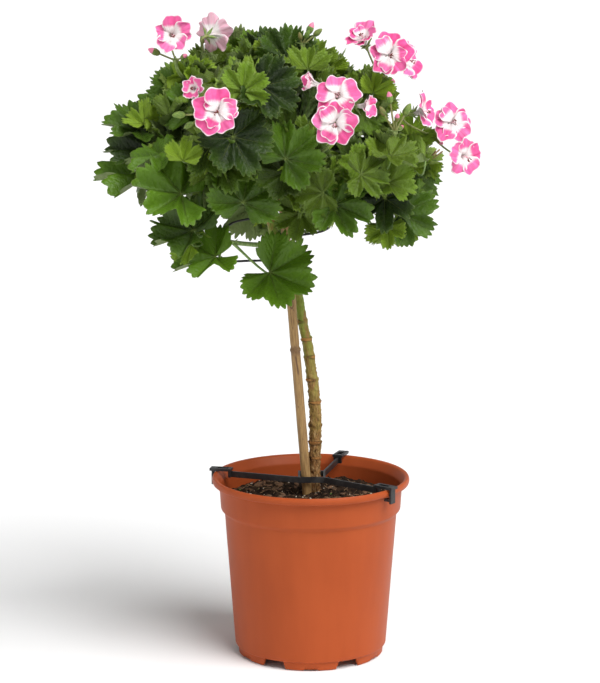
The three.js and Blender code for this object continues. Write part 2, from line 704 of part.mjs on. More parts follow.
function bloomSolid(row) {
  const bloom = bloomPlace(row);
  const lean = CLOSED_LEAN + OPENING * bloom.open;
  const outer = whorl(bloom, {
    count: PETAL_COUNT, edge: PETAL_EDGE, turn: FIRST_PETAL, lean, length: bloom.length, height: 0,
    depth: THROAT_LENGTH,
  });
  if (bloom.inner === 0) {
    return outer;
  }
  const inner = whorl(bloom, {
    count: bloom.inner, edge: INNER_PETAL_EDGE, turn: FIRST_INNER_PETAL, lean: INNER_LEAN * lean,
    length: INNER_LENGTH * bloom.length, height: INNER_HEIGHT, depth: INNER_DEPTH,
  });
  return outer.add(inner);
}

// Pot and soil

function potSolid() {
  const notchWidth = 2 * POT_BASE_RADIUS * Math.sin(degrees(NOTCH_ANGLE / 2));
  const notchBox = { size: [14, notchWidth, NOTCH_HEIGHT + 1], place: [70, 0, NOTCH_HEIGHT / 2 - 0.5] };
  const cuts = [];
  for (let turn = 0; turn < 360; turn += POT_STEP) {
    cuts.push(box(notchBox, FIRST_NOTCH + turn));
    cuts.push(box(DRAIN_SLOT, FIRST_NOTCH + turn));
    cuts.push(box(FOOT_RECESS, FIRST_FOOT + turn));
  }
  return toSolid(lathe(POT_PROFILE, POT_SIDES)).subtract(fuse(cuts));
}

// Low waves that roughen the top of the soil.

function soilBump(x, y) {
  return Math.sin(0.21 * x + 1.3) * Math.cos(0.17 * y - 0.6) + 0.6 * Math.sin(0.37 * x - 0.29 * y);
}

function soilSolid(holes) {
  const [[, floor]] = SOIL_SIDE;
  const topRadius = SOIL_SIDE[SOIL_SIDE.length - 1][0];
  const profile = [[0, floor], ...SOIL_SIDE];
  SOIL_RINGS.forEach((radius) => {
    profile.push([radius, SOIL_TOP + SOIL_MOUND * Math.cos((radius / topRadius) * (Math.PI / 2))]);
  });
  profile.push([0, SOIL_TOP + SOIL_MOUND]);
  const geometry = lathe(profile, POT_SIDES);
  const position = geometry.attributes.position;
  for (let i = 0; i < position.count; i += 1) {
    const [x, y, z] = [position.getX(i), position.getY(i), position.getZ(i)];
    if (z > SOIL_TOP - 0.5) {
      position.setZ(i, z + SOIL_ROUGHNESS * soilBump(x, y));
    }
  }
  return largestPiece(toSolid(geometry).subtract(holes));
}

// Cane, trunk, wire, tie and bridge

function caneSolid(extra = 0) {
  const [foot, top] = [vector(CANE_FOOT), vector(CANE_TOP)];
  const points = CANE_STATIONS.map(([share]) => foot.clone().lerp(top, share));
  return tube(points, CANE_STATIONS.map((row) => row[1] + extra), CANE_SIDES);
}

// The trunk's stations: its route, with a low ring at each leaf scar.

function trunkStem(extra) {
  const stations = TRUNK_ROUTE.map((row) => ({ place: vector(row), radius: row[3] }));
  TRUNK_SCARS.forEach((height) => {
    SCAR_PROFILE.forEach(([rise, swell]) => {
      const { place, radius } = pointOnTrunk(height + rise);
      stations.push({ place, radius: radius + swell });
    });
  });
  stations.sort((a, b) => a.place.z - b.place.z);
  return tube(stations.map((row) => row.place), stations.map((row) => row.radius + extra), TRUNK_SIDES);
}

function pointOnTrunk(height) {
  const above = TRUNK_ROUTE.findIndex((row) => row[2] > height);
  const [low, high] = [TRUNK_ROUTE[above - 1], TRUNK_ROUTE[above]];
  const share = (height - low[2]) / (high[2] - low[2]);
  return { place: vector(low).lerp(vector(high), share), radius: low[3] + share * (high[3] - low[3]) };
}

function branchPoints(name) {
  const [start, end] = [vector(BRANCH_START), vector(BRANCH_ENDS[name])];
  const control = start.clone().lerp(end, BRANCH_BEND);
  control.z = start.z + BRANCH_LIFT * (end.z - start.z);
  return bezier(start, control, end, 4);
}

function pointOnCane(height) {
  const share = (height - CANE_FOOT[2]) / (CANE_TOP[2] - CANE_FOOT[2]);
  return vector(CANE_FOOT).lerp(vector(CANE_TOP), share);
}

function trunkSolid(extra = 0) {
  const solids = [trunkStem(extra)];
  Object.keys(BRANCH_ENDS).forEach((name) => {
    const points = branchPoints(name);
    solids.push(tube(points, points.map((_, i) => BRANCH_RADIUS - BRANCH_TAPER * i + extra), 4));
  });
  return largestPiece(fuse(solids));
}

function curvePoints(route, stepsPerSpan) {
  const points = route.map(vector);
  const curve = new THREE.CatmullRomCurve3(points, false, 'catmullrom', 0.5);
  return curve.getPoints(stepsPerSpan * (route.length - 1));
}

function windingPoints({ height, turns, start }) {
  const axisX = pointOnCane(height + WIRE_RADIUS).x;
  const steps = Math.ceil(WINDING_STEPS * turns);
  return Array.from({ length: steps + 1 }, (_, i) => {
    const angle = degrees(start - (360 * turns * i) / steps);
    const rise = (WINDING_PITCH * turns * i) / steps;
    return new THREE.Vector3(axisX, 0, height + rise)
      .add(new THREE.Vector3(WINDING_RADIUS * Math.cos(angle), WINDING_RADIUS * Math.sin(angle), 0));
  });
}

function wireSolid() {
  const loop = curvePoints(WIRE_ROUTE, 1);
  const points = [...windingPoints(LOW_WINDING), ...loop, ...windingPoints(HIGH_WINDING)];
  return tube(points, points.map(() => WIRE_RADIUS), 4);
}

function tieSolid() {
  const trunk = pointOnTrunk(TIE_Z).place;
  const cane = pointOnCane(TIE_Z);
  const turn = Math.atan2(trunk.y - cane.y, trunk.x - cane.x);
  const loop = (radius, depth) => {
    const shape = new THREE.Shape();
    shape.absarc(trunk.x, trunk.y, radius, turn - Math.PI / 2, turn + Math.PI / 2);
    shape.absarc(cane.x, cane.y, radius, turn + Math.PI / 2, turn + 1.5 * Math.PI);
    const geometry = new THREE.ExtrudeGeometry(shape, { depth, bevelEnabled: false, curveSegments: 4 });
    geometry.translate(0, 0, TIE_Z - depth / 2);
    return toSolid(geometry);
  };
  return loop(TIE_RADIUS + TIE_THICKNESS, TIE_WIDTH).subtract(loop(TIE_RADIUS, 2 * TIE_WIDTH));
}

function strip(from, to) {
  const [dx, dy] = [to[0] - from[0], to[1] - from[1]];
  const length = Math.hypot(dx, dy) + BRIDGE_STRIP_THICKNESS;
  const geometry = new THREE.BoxGeometry(length, BRIDGE_STRIP_THICKNESS, BRIDGE_STRIP_HEIGHT);
  geometry.rotateZ(Math.atan2(dy, dx));
  geometry.translate((from[0] + to[0]) / 2, (from[1] + to[1]) / 2, BRIDGE_Z);
  return toSolid(geometry);
}

function hook(angle) {
  const solids = HOOK_BOXES.map((shape) => box(shape, angle));
  return fuse(solids).subtract(box(HOOK_SLOT, angle));
}

function bridgeSolid() {
  const { left, right, front, back } = BRIDGE_LOOP;
  const end = (name) => {
    const angle = degrees(BRIDGE_ANGLES[name]);
    return [BRIDGE_REACH * Math.cos(angle), BRIDGE_REACH * Math.sin(angle)];
  };
  const solids = Object.values(BRIDGE_ANGLES).map((angle) => hook(angle));
  solids.push(strip(end('left'), [left, front]));
  solids.push(strip([left, front], [right, front]));
  solids.push(strip([right, front], end('right')));
  solids.push(strip([left, front], [left, back]));
  solids.push(strip([right, front], [right, back]));
  solids.push(strip([left, back], [right, back]));
  solids.push(strip([right, back], end('back')));
  return fuse(solids);
}

// Leafy stems

function stemPoints(stem) {
  const tip = vector(stem.tip);
  const [branch, share] = stem.start;
  const start = typeof branch === 'string' ? alongPoints(branchPoints(branch), share) : vector(stem.start);
  const control = start.clone().lerp(tip, STEM_BEND);
  control.z = start.z + STEM_LIFT * (tip.z - start.z);
  return bezier(start, control, tip, 3);
}

function stemSolid(name, clearOf, random) {
  const points = stemPoints(STEMS[name]);
  const leaves = tableLeaves(LEAVES[name]);
  if (ROSETTES[name]) {
    leaves.push(...rosetteLeaves(points[points.length - 1], ROSETTES[name], random));
  }
  const solids = [tube(points, points.map((_, i) => STEM_RADIUS - STEM_TAPER * i), 4)];
  const reach = (leaf) => leaf.junction.distanceTo(points[0]);
  leaves.sort((a, b) => reach(a) - reach(b));
  leaves.forEach((leaf, i) => {
    const share = NODES_FROM + (NODES_TO - NODES_FROM) * ((i + 0.5) / leaves.length);
    solids.push(leafBlade(leaf), petiole(leaf, alongPoints(points, share)));
  });
  Object.entries(UMBELS).filter(([, umbel]) => umbel.stem === name).forEach(([umbelName, umbel]) => {
    solids.push(...umbelSolids(umbelName, umbel, points));
  });
  return largestPiece(fuse(solids).subtract(clearOf));
}

// The assembly

const FINISHES = {
  terracotta: { color: 0xb4583a, roughness: 0.5, metalness: 0 },
  peat: { color: 0x2b1d15, roughness: 0.95, metalness: 0 },
  blackPlastic: { color: 0x141416, roughness: 0.45, metalness: 0 },
  bamboo: { color: 0xb08a56, roughness: 0.6, metalness: 0 },
  bark: { color: 0x6d6a35, roughness: 0.8, metalness: 0 },
  foliage: { color: 0x3e6a1e, roughness: 0.55, metalness: 0 },
  petals: { color: 0xe85f95, roughness: 0.6, metalness: 0 },
};

const plant = new THREE.Group();
plant.position.set(POT_AXIS_X, POT_AXIS_Y, 0);

function add(name, solid, finish) {
  const mesh = new THREE.Mesh(toGeometry(solid), new THREE.MeshStandardMaterial(FINISHES[finish]));
  mesh.name = name;
  plant.add(mesh);
}

const soilHoles = fuse([caneSolid(GAP), trunkSolid(GAP)]);
add('nursery_pot', potSolid(), 'terracotta');
add('soil', soilSolid(soilHoles), 'peat');
add('pot_bridge', bridgeSolid(), 'blackPlastic');
add('cane', caneSolid(), 'bamboo');
add('cane_tie', tieSolid(), 'blackPlastic');
add('crown_wire', wireSolid(), 'blackPlastic');
add('trunk', trunkSolid(), 'bark');

const random = makeRandom(SEED);
const fatTrunk = trunkSolid(GAP);
Object.keys(STEMS).forEach((name) => {
  add(`leafy_stem_${name}`, stemSolid(name, fatTrunk, random), 'foliage');
});
BLOOMS.forEach((row, i) => {
  add(`bloom_${String(i + 1).padStart(2, '0')}`, bloomSolid(row), 'petals');
});

export default plant;
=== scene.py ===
"""A potted regal pelargonium standard: fine meshes and finishes built round a packed construction model.

Lengths are millimetres from the pot's axis, with +Z up and the front of the plant facing -Y, until a surface becomes
a mesh, which is in the frame's metres.
"""

from __future__ import annotations

import logging
import math
from dataclasses import dataclass, field, fields
from enum import Enum
from typing import Callable, Iterator, Sequence

import bmesh
import bpy
import numpy as np
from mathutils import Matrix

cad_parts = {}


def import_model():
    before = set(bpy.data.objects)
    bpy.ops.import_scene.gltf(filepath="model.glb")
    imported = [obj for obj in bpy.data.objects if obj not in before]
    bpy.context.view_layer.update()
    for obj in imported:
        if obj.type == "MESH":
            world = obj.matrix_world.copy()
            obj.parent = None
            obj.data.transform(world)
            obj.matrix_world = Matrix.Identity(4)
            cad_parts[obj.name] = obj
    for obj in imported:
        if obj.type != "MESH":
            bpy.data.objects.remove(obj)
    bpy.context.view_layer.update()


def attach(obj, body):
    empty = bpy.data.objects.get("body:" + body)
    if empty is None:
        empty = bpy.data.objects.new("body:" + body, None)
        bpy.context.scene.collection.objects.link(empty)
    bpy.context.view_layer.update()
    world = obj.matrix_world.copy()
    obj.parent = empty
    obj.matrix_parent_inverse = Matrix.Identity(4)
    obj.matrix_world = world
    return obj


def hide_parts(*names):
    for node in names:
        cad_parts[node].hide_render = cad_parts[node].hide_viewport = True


LOG = logging.getLogger("pelargonium")
MM = 0.001
POT_AXIS = np.array([21.5, -2.3, 0.0])
BODY = "root"
Array = np.ndarray
Colour = tuple[float, float, float]
Material = bpy.types.Material
Socket = bpy.types.NodeSocket
Random = np.random.Generator

# Facts shared with the construction model: the pot, the trunk's route and the crown's stems, leaves and blooms.

POT_PROFILE = [
    (0, 8), (67.6, 8), (67.8, 0), (69.8, 0), (70.4, 7.4), (72.6, 8.4), (82.3, 137), (85.9, 141), (87.4, 164.4),
    (93.4, 165), (94.5, 168.5), (93.2, 172), (90, 171), (85.4, 163), (84.2, 142), (80.4, 137), (70.9, 10), (0, 10),
]
SOIL_TOP = 150.0
SOIL_RADIUS = 83.9
CANE_FOOT = np.array([7.5, 0, 25])
CANE_TOP = np.array([-26.4, 0, 437])
TRUNK_ROUTE = [
    (4.5, 9, 95, 3.5), (4.3, 9, 150, 5.0), (3.9, 9, 178, 5.3), (4.4, 9, 208, 5.7), (4.4, 9, 231, 5.5),
    (2.8, 9, 253, 5.3), (0, 9, 275, 5.0), (-2.9, 9.5, 297, 4.8), (-6.5, 9.5, 312, 4.5), (-9.3, 10, 329, 4.3),
    (-11.5, 10.5, 344, 4.0), (-18, 11, 364, 4.0), (-27, 11, 384, 4.1), (-35, 10, 404, 4.4), (-38, 8, 423, 4.8),
    (-38, 7, 438, 5.0), (-38, 7, 446, 6.4), (-38, 7, 453, 4.0),
]
TRUNK_SCARS = [188, 203, 220, 242, 264, 286, 303, 320]
BRANCH_START = (-38, 7, 446)
BRANCH_ENDS = {
    "left": (-92, -12, 452),
    "right": (28, -8, 458),
    "front": (-34, -58, 462),
    "back": (-42, 66, 462),
    "top": (-44, 4, 508),
}
STEMS = {
    "low_left": ((-33, 9, 392), (-104, -58, 412)),
    "left": (("left", 1.0), (-138, -30, 468)),
    "left_upper": (("left", 0.72), (-135, -2, 508)),
    "upper_left": (("top", 0.55), (-112, 5, 545)),
    "front_left": (("front", 0.62), (-88, -85, 488)),
    "top_left": (("top", 0.78), (-72, -58, 540)),
    "top": (("top", 1.0), (-38, 6, 560)),
    "top_right": (("top", 0.38), (4, -22, 546)),
    "front": (("front", 1.0), (-12, -82, 478)),
    "front_low": (("front", 0.82), (18, -78, 446)),
    "right": (("right", 0.9), (60, -76, 468)),
    "right_low": (("right", 0.6), (72, -38, 424)),
    "right_upper": (("right", 0.75), (52, -8, 530)),
    "right_far": (("right", 1.0), (98, -12, 476)),
    "back_low_right": (("back", 0.5), (70, 66, 452)),
    "back_right": (("back", 0.85), (8, 118, 486)),
    "back_left": (("back", 1.0), (-84, 118, 474)),
    "back_low_left": (("back", 0.66), (-146, 64, 470)),
    "back_top_right": (("top", 0.66), (14, 66, 540)),
    "back_top_left": (("top", 0.9), (-82, 70, 546)),
    "back_under": (("back", 0.33), (-36, 84, 418)),
}
STEM_BEND = 0.6
STEM_LIFT = 0.25
NODES_FROM = 0.45
NODES_TO = 0.97
GOLDEN_ANGLE = 137.5

# Each row: junction x, y, z, length, the way the blade faces (degrees round the vertical, degrees above the horizon)
# and the tip's turn from straight down the slope, seen from its face.

LEAVES = {
    "low_left": [
        (-38, -45, 374, 43, -88, 26, 66), (-106, -88, 418, 41, -100, 38, -114),
        (-108, -80, 404, 22, -112, 20, -50), (-87, -72, 392, 40, -108, 66, -62),
    ],
    "left": [
        (-148, -18, 463, 53, -112, 70, -75), (-116, -98, 452, 45, -100, 56, -84), (-134, -70, 484, 35, -100, 62, -95),
    ],
    "left_upper": [
        (-149, -8, 486, 43, -100, 50, -86), (-159, -6, 503, 35, -95, 50, -88), (-154, -13, 508, 20, -100, 40, -121),
        (-111, -24, 522, 30, -100, 35, -82),
    ],
    "upper_left": [
        (-133, 14, 527, 30, -92, 74, -90), (-122, -4, 534, 31, -100, 28, -130), (-123, 22, 541, 28, -120, 18, -150),
        (-92, 12, 556, 27, -90, 30, 178),
    ],
    "front_left": [
        (-113, -116, 483, 21, -85, 15, 168), (-69, -110, 504, 38, -86, 22, 25), (-93, -104, 494, 29, -95, 26, 32),
        (-61, -94, 444, 39, -92, 22, 172),
    ],
    "top_left": [
        (-60, -114, 544, 26, -80, 14, 175), (-87, -80, 548, 27, -92, 62, -124), (-43, -98, 548, 35, -84, 26, 55),
    ],
    "top": [
        (-58, 38, 563, 29, -90, 8, 178), (-44, 20, 566, 30, -88, 12, 172), (-22, -14, 567, 33, -90, 12, 170),
    ],
    "top_right": [
        (-3, -58, 560, 25, -90, 22, 180), (2, 0, 563, 25, -85, 10, 162), (18, 6, 556, 19, -85, 14, 168),
    ],
    "front": [(-23, -108, 484, 37, -86, 22, 132), (4, -84, 462, 27, -90, 30, 178)],
    "front_low": [(-10, -70, 432, 27, -98, 16, -8), (20, -104, 443, 36, -88, 34, 75)],
    "right": [
        (43, -124, 472, 27, -80, 30, 80), (69, -100, 463, 26, -70, 50, 60), (70, -108, 487, 26, -90, 56, 55),
        (66, -76, 446, 32, -92, 30, 0),
    ],
    "right_low": [
        (81, -58, 430, 36, -80, 16, 112), (69, -74, 421, 23, -92, 26, 4), (84, -46, 417, 19, -80, 30, 25),
    ],
    "right_upper": [(50, -22, 537, 27, -90, 26, -140), (56, -50, 538, 20, -85, 20, 170)],
    "right_far": [
        (100, 6, 446, 17, -80, 20, 130), (102, -78, 480, 25, -90, 64, -85), (90, -40, 498, 25, -80, 12, 140),
    ],
}

# Rosettes of the stems that the front view hides: leaf count, turn of the first leaf and height of the layer.

ROSETTES = {
    "back_low_right": (4, 20, -8),
    "back_right": (4, 75, 6),
    "back_left": (5, 130, -8),
    "back_low_left": (4, 60, 10),
    "back_top_right": (4, 60, -8),
    "back_top_left": (4, 200, 6),
    "back_under": (4, 90, 0),
}
CROWN_CENTRE = np.array([-40.0, 5.0, 485.0])
CROWN_CURVE = 140.0
SEED = 20517
BUD_SEED = 77
BLOOM_SEED = 900

# Flower stalks: the stem each grows from, its hub, its buds (tip x, y, z and length) and its bare pedicels.

UMBELS = {
    "far_left": ("upper_left", (-124, -18, 566), [(-149, -24, 577, 12), (-113, -30, 572, 9)], 0),
    "upper_left": ("upper_left", (-99, 0, 572), [(-101, -6, 588, 8)], 0),
    "front_left": ("front_left", (-92, -112, 524), [(-122, -124, 524, 12), (-112, -120, 512, 10)], 0),
    "top": (
        "top_right", (-8, -18, 580), [(-11, -22, 592, 8), (2, -18, 601, 12), (10, -20, 595, 10), (-2, -26, 594, 9)], 0,
    ),
    "front": ("front", (24, -108, 516), [(2, -128, 518, 9)], 0),
    "upper_right": ("right_upper", (60, -38, 556), [(76, -48, 548, 9)], 0),
    "right": (
        "right", (74, -92, 506),
        [(68, -98, 543, 11), (60, -98, 530, 10), (88, -90, 532, 12), (76, -104, 524, 9), (82, -84, 512, 8)], 0,
    ),
    "far_right": ("right_far", (108, -40, 500), [(120, -48, 492, 8)], 0),
    "bare": ("right_far", (104, -18, 470), [], 5),
    "back": ("back_right", (-10, 136, 520), [(-22, 148, 536, 10)], 0),
    "back_left": ("back_left", (-106, 108, 514), [(-122, 106, 530, 10)], 0),
    "back_right": ("back_low_right", (46, 106, 500), [(56, 116, 518, 10)], 0),
}

# Blooms: their flower stalk, throat x, y, z, petal length, the way the bloom faces, how open it is (1 is flat), and
# the number of petals in its inner layer.

BLOOMS = [
    ("far_left", -127, -28, 590, 19, -75, 6, 0.7, 0), ("upper_left", -92, -10, 590, 20, 62, 12, 0.6, 3),
    ("front_left", -102, -124, 547, 13, -115, 12, 0.4, 0), ("front_left", -82, -140, 528, 20.5, -90, 8, 0.9, 3),
    ("front", 22, -130, 541, 21, -90, 24, 0.95, 0), ("front", 20, -150, 519, 20, -95, 0, 0.85, 3),
    ("front", 3, -120, 551, 13, 198, 14, 0.12, 0), ("front", 45, -122, 532, 13, -28, 0, 0.3, 0),
    ("upper_right", 70, -62, 573, 21, -84, 10, 0.9, 3), ("upper_right", 47, -50, 586, 18, -120, 50, 0.45, 2),
    ("upper_right", 86, -22, 566, 18, -35, 10, 0.7, 0), ("far_right", 98, -72, 523, 18, -24, 14, 0.5, 0),
    ("far_right", 127, -54, 512, 20, -74, 20, 0.9, 3), ("far_right", 138, -58, 482, 19, -58, -4, 0.75, 0),
    ("back", -6, 152, 534, 20, 84, 20, 0.85, 3), ("back_left", -108, 116, 528, 20, 120, 16, 0.85, 0),
    ("back_right", 44, 128, 512, 20, 66, 16, 0.85, 3),
]

WIRE_RADIUS = 1.1
WIRE_ROUTE = [
    (-40, -6, 379.5), (-58, -8, 379.5), (-77, -8, 379.5), (-88, 2, 385), (-90, 16, 393), (-86, 30, 400),
    (-79, 44, 406), (-70, 56, 409), (-48, 70, 411), (-20, 76, 411), (6, 66, 409), (18, 44, 406), (12, 22, 404),
    (0, 8, 403),
]


# Geometry helpers


def unit(vectors: Array) -> Array:
    """Vectors of length 1 in the same directions, along the last axis."""
    return vectors / np.linalg.norm(vectors, axis=-1, keepdims=True)


def dot(first: Array, second: Array) -> Array:
    """Dot product along the last axis, which is kept with length 1."""
    return np.sum(first * second, axis=-1, keepdims=True)


def smooth(low: float, high: float, value: Array) -> Array:
    """Rises from 0 at low to 1 at high with flat ends."""
    share = np.clip((value - low) / (high - low), 0, 1)
    return share * share * (3 - 2 * share)


def facing(azimuth: Array, elevation: Array, spin: Array) -> tuple[Array, Array, Array]:
    """Frames of surfaces that face one way, their tips turned from straight down the slope.

    Args:
        azimuth: degrees round the vertical.
        elevation: degrees above the horizon.
        spin: the tip's turn in degrees, seen from the face.

    Returns:
        Unit vectors: the normals, the tips and the sides, tip x normal.
    """
    az, el, turn = (np.radians(np.asarray(v, float))[..., None] for v in (azimuth, elevation, spin))
    normal = np.concatenate([np.cos(az) * np.cos(el), np.sin(az) * np.cos(el), np.sin(el)], -1)
    down = np.concatenate([np.cos(az) * np.sin(el), np.sin(az) * np.sin(el), -np.cos(el)], -1)
    right = np.concatenate([-np.sin(az), np.cos(az), 0 * az], -1)
    tip = np.cos(turn) * down + np.sin(turn) * right
    return normal, tip, np.cross(tip, normal)


def around(axis: Array, reference: Sequence[float], degrees: Array) -> Array:
    """Unit vectors at angles round an axis, from the side where it crosses a reference."""
    u, angle = unit(np.cross(reference, axis)), np.radians(degrees)[:, None]
    return u * np.cos(angle) + np.cross(axis, u) * np.sin(angle)


def bezier(start: Array, control: Array, end: Array, count: int) -> Array:
    """Points of quadratic curves: (1-t)^2 start + 2(1-t)t control + t^2 end.

    Args:
        start: (curves, 3) first points.
        control: (curves, 3) control points.
        end: (curves, 3) last points.
        count: points on each curve.

    Returns:
        (curves, count, 3) points.
    """
    t = np.linspace(0, 1, count)[None, :, None]
    start, control, end = (np.atleast_2d(v).astype(float)[:, None, :] for v in (start, control, end))
    return (1 - t) ** 2 * start + 2 * (1 - t) * t * control + t**2 * end


def catmull_rom(route: Array, per_span: int) -> Array:
    """Points of a smooth curve through a route, by the uniform Catmull-Rom formula.

    Args:
        route: (n, k) rows that the curve passes through.
        per_span: points in each stretch between two rows.

    Returns:
        (per_span * (n - 1) + 1, k) rows.
    """
    route = np.asarray(route, float)
    padded = np.vstack([2 * route[0] - route[1], route, 2 * route[-1] - route[-2]])
    place = np.linspace(0, len(route) - 1, per_span * (len(route) - 1) + 1)
    span = np.minimum(place.astype(int), len(route) - 2)
    t = (place - span)[:, None]
    a, b, c, d = (padded[span + k] for k in range(4))
    return 0.5 * (2 * b + (c - a) * t + (2 * a - 5 * b + 4 * c - d) * t**2 + (3 * b - a - 3 * c + d) * t**3)


def waves(points: Array, scale: float, seed: int) -> Array:
    """Smooth random heights between about -1 and 1: a sum of sine waves in seeded directions.

    Args:
        points: (..., 3) places.
        scale: length of the longest wave, in the points' unit.
        seed: which directions and phases are drawn.

    Returns:
        An array with the points' shape less its last axis.
    """
    rng = np.random.default_rng(seed)
    ways = unit(rng.normal(size=(9, 3))) * (2 * math.pi / scale) * np.linspace(1, 2.7, 9)[:, None]
    phase = rng.uniform(0, 2 * math.pi, 9)
    return np.mean(np.sin(points @ ways.T + phase), axis=-1) * 2.0


# Surfaces and meshes


@dataclass
class Surface:
    """Closed surfaces in millimetres: points, faces and the values that finishes read at each point."""

    points: Array
    quads: Array
    triangles: Array
    values: dict[str, Array] = field(default_factory=dict)

    @staticmethod
    def join(surfaces: Sequence[Surface]) -> Surface:
        """One surface that holds all of the given ones.

        Args:
            surfaces: one or more, with the same values.

        Returns:
            The joined surface.
        """
        starts = np.cumsum([0] + [len(s.points) for s in surfaces[:-1]])
        names = surfaces[0].values
        return Surface(
            np.concatenate([s.points for s in surfaces]),
            np.concatenate([s.quads + at for s, at in zip(surfaces, starts)]),
            np.concatenate([s.triangles + at for s, at in zip(surfaces, starts)]),
            {name: np.concatenate([s.values[name] for s in surfaces]) for name in names},
        )

    def with_value(self, name: str, value: Array | float) -> Surface:
        """The same surface with one more value, the same everywhere or given at each point."""
        full = np.broadcast_to(np.asarray(value, float), (len(self.points),)).copy()
        return Surface(self.points, self.quads, self.triangles, {**self.values, name: full})

    def count(self) -> int:
        """The number of triangles."""
        return 2 * len(self.quads) + len(self.triangles)


def repeated(points: Array, quads: Array, triangles: Array, values: dict[str, Array]) -> Surface:
    """Copies of one face pattern over many sets of points.

    Args:
        points: (copies, n, 3) points.
        quads: (m, 4) faces of one copy.
        triangles: (k, 3) faces of one copy.
        values: (copies, n) or (copies, n, 3) values.

    Returns:
        One surface, with faces turned outwards by the sign of the first copy's volume.
    """
    copies, size = points.shape[:2]
    corners = points[0][np.concatenate([quads[:, :3], quads[:, [0, 2, 3]], triangles])]
    volume = np.sum(np.cross(corners[:, 0], corners[:, 1]) * corners[:, 2])
    if volume < 0:
        quads, triangles = quads[:, ::-1], triangles[:, ::-1]
    start = (np.arange(copies) * size)[:, None, None]
    flat = {name: value.reshape(copies * size, *value.shape[2:]) for name, value in values.items()}
    return Surface(
        points.reshape(-1, 3), (quads + start).reshape(-1, 4), (triangles + start).reshape(-1, 3), flat
    )


def ringed(rings: Array, ends: Array, values: dict[str, Array] | None = None) -> Surface:
    """Closed surfaces of rings that follow each other, with a pole at each end.

    Args:
        rings: (copies, rings, sides, 3) points.
        ends: (copies, 2, 3) poles.
        values: values of all points, the two poles last.

    Returns:
        The surface.
    """
    copies, count, sides = rings.shape[:3]
    k = np.arange(sides)
    after = (k + 1) % sides
    low = (np.arange(count - 1) * sides)[:, None]
    quads = np.stack([low + k, low + after, low + sides + after, low + sides + k], -1).reshape(-1, 4)
    first, top = count * sides, (count - 1) * sides
    caps = [np.stack([0 * k + first, after, k], -1), np.stack([0 * k + first + 1, top + k, top + after], -1)]
    points = np.concatenate([rings.reshape(copies, -1, 3), ends], 1)
    return repeated(points, quads, np.concatenate(caps), values or {})


def tubes(paths: Array, radii: Array, sides: int, ribs: float = 0.0) -> Surface:
    """Round closed tubes: at each station a circle across the path, and a pole at each end.

    Args:
        paths: (tubes, stations, 3) middle lines.
        radii: (tubes, stations) radii.
        sides: points in each circle.
        ribs: how far five ribs stand out, as a share of the radius.

    Returns:
        The surface, with "straight": the tube's own straight coordinates (across, across, along) in millimetres.
    """
    paths, radii = np.asarray(paths, float), np.asarray(radii, float)
    count = len(paths)
    tangents = unit(np.gradient(paths, axis=1))
    reference = np.eye(3)[np.argmin(np.abs(tangents).max(axis=1), axis=1)][:, None, :]
    across = unit(reference - tangents * dot(tangents, reference))
    third = np.cross(tangents, across)
    angle = np.linspace(0, 2 * math.pi, sides, endpoint=False)
    cos, sin = np.cos(angle)[None, None, :, None], np.sin(angle)[None, None, :, None]
    swell = (1 + ribs * np.cos(5 * angle))[None, None, :, None]
    ring = radii[:, :, None, None] * swell
    points = paths[:, :, None, :] + ring * (across[:, :, None, :] * cos + third[:, :, None, :] * sin)
    steps = np.linalg.norm(np.diff(paths, axis=1), axis=-1)
    along = np.concatenate([np.zeros((count, 1)), np.cumsum(steps, axis=1)], axis=1)
    straight = np.concatenate([ring * cos, ring * sin, np.broadcast_to(along[:, :, None, None], ring.shape)], -1)
    ends = paths[:, [0, -1]]
    poles = np.stack([np.zeros((count, 2)), np.zeros((count, 2)), along[:, [0, -1]]], -1)
    return ringed(points, ends, {"straight": np.concatenate([straight.reshape(count, -1, 3), poles], 1)})


def bladed(columns: int, rows: int, points: Array, values: dict[str, Array]) -> Surface:
    """Thin closed blades: two faces on a grid that fans out from one point, and a wall round them.

    Args:
        columns: columns of the grid.
        rows: rows of the grid, without the point.
        points: (blades, n, 3) points: the upper face's point and rows, then the lower face's.
        values: (blades, n) or (blades, n, 3) values.

    Returns:
        The surface.
    """
    size = 1 + rows * columns
    row = (1 + np.arange(rows - 1) * columns)[:, None]
    k = np.arange(columns - 1)
    upper = np.stack([row + k, row + columns + k, row + columns + k + 1, row + k + 1], -1).reshape(-1, 4)
    fan = np.stack([0 * k, 1 + k, 2 + k], -1)
    edge = 1 + (rows - 1) * columns + np.arange(columns)
    left = np.concatenate([[0], 1 + np.arange(rows) * columns])
    right = np.concatenate([[0], columns + np.arange(rows) * columns])
    border = np.concatenate([left, edge[1:], right[::-1][1:]])
    here, after = border[:-1], border[1:]
    wall = np.stack([here, here + size, after + size, after], -1)
    quads = np.concatenate([upper, upper[:, ::-1] + size, wall])
    return repeated(points, quads, np.concatenate([fan, fan[:, ::-1] + size]), values)


def linked(name: str, data: bpy.types.ID) -> bpy.types.Object:
    """A new object of the scene that shows a mesh, a camera or a light.

    Args:
        name: its name.
        data: what it shows.

    Returns:
        The object.
    """
    placed = bpy.data.objects.new(name, data)
    bpy.context.scene.collection.objects.link(placed)
    return placed


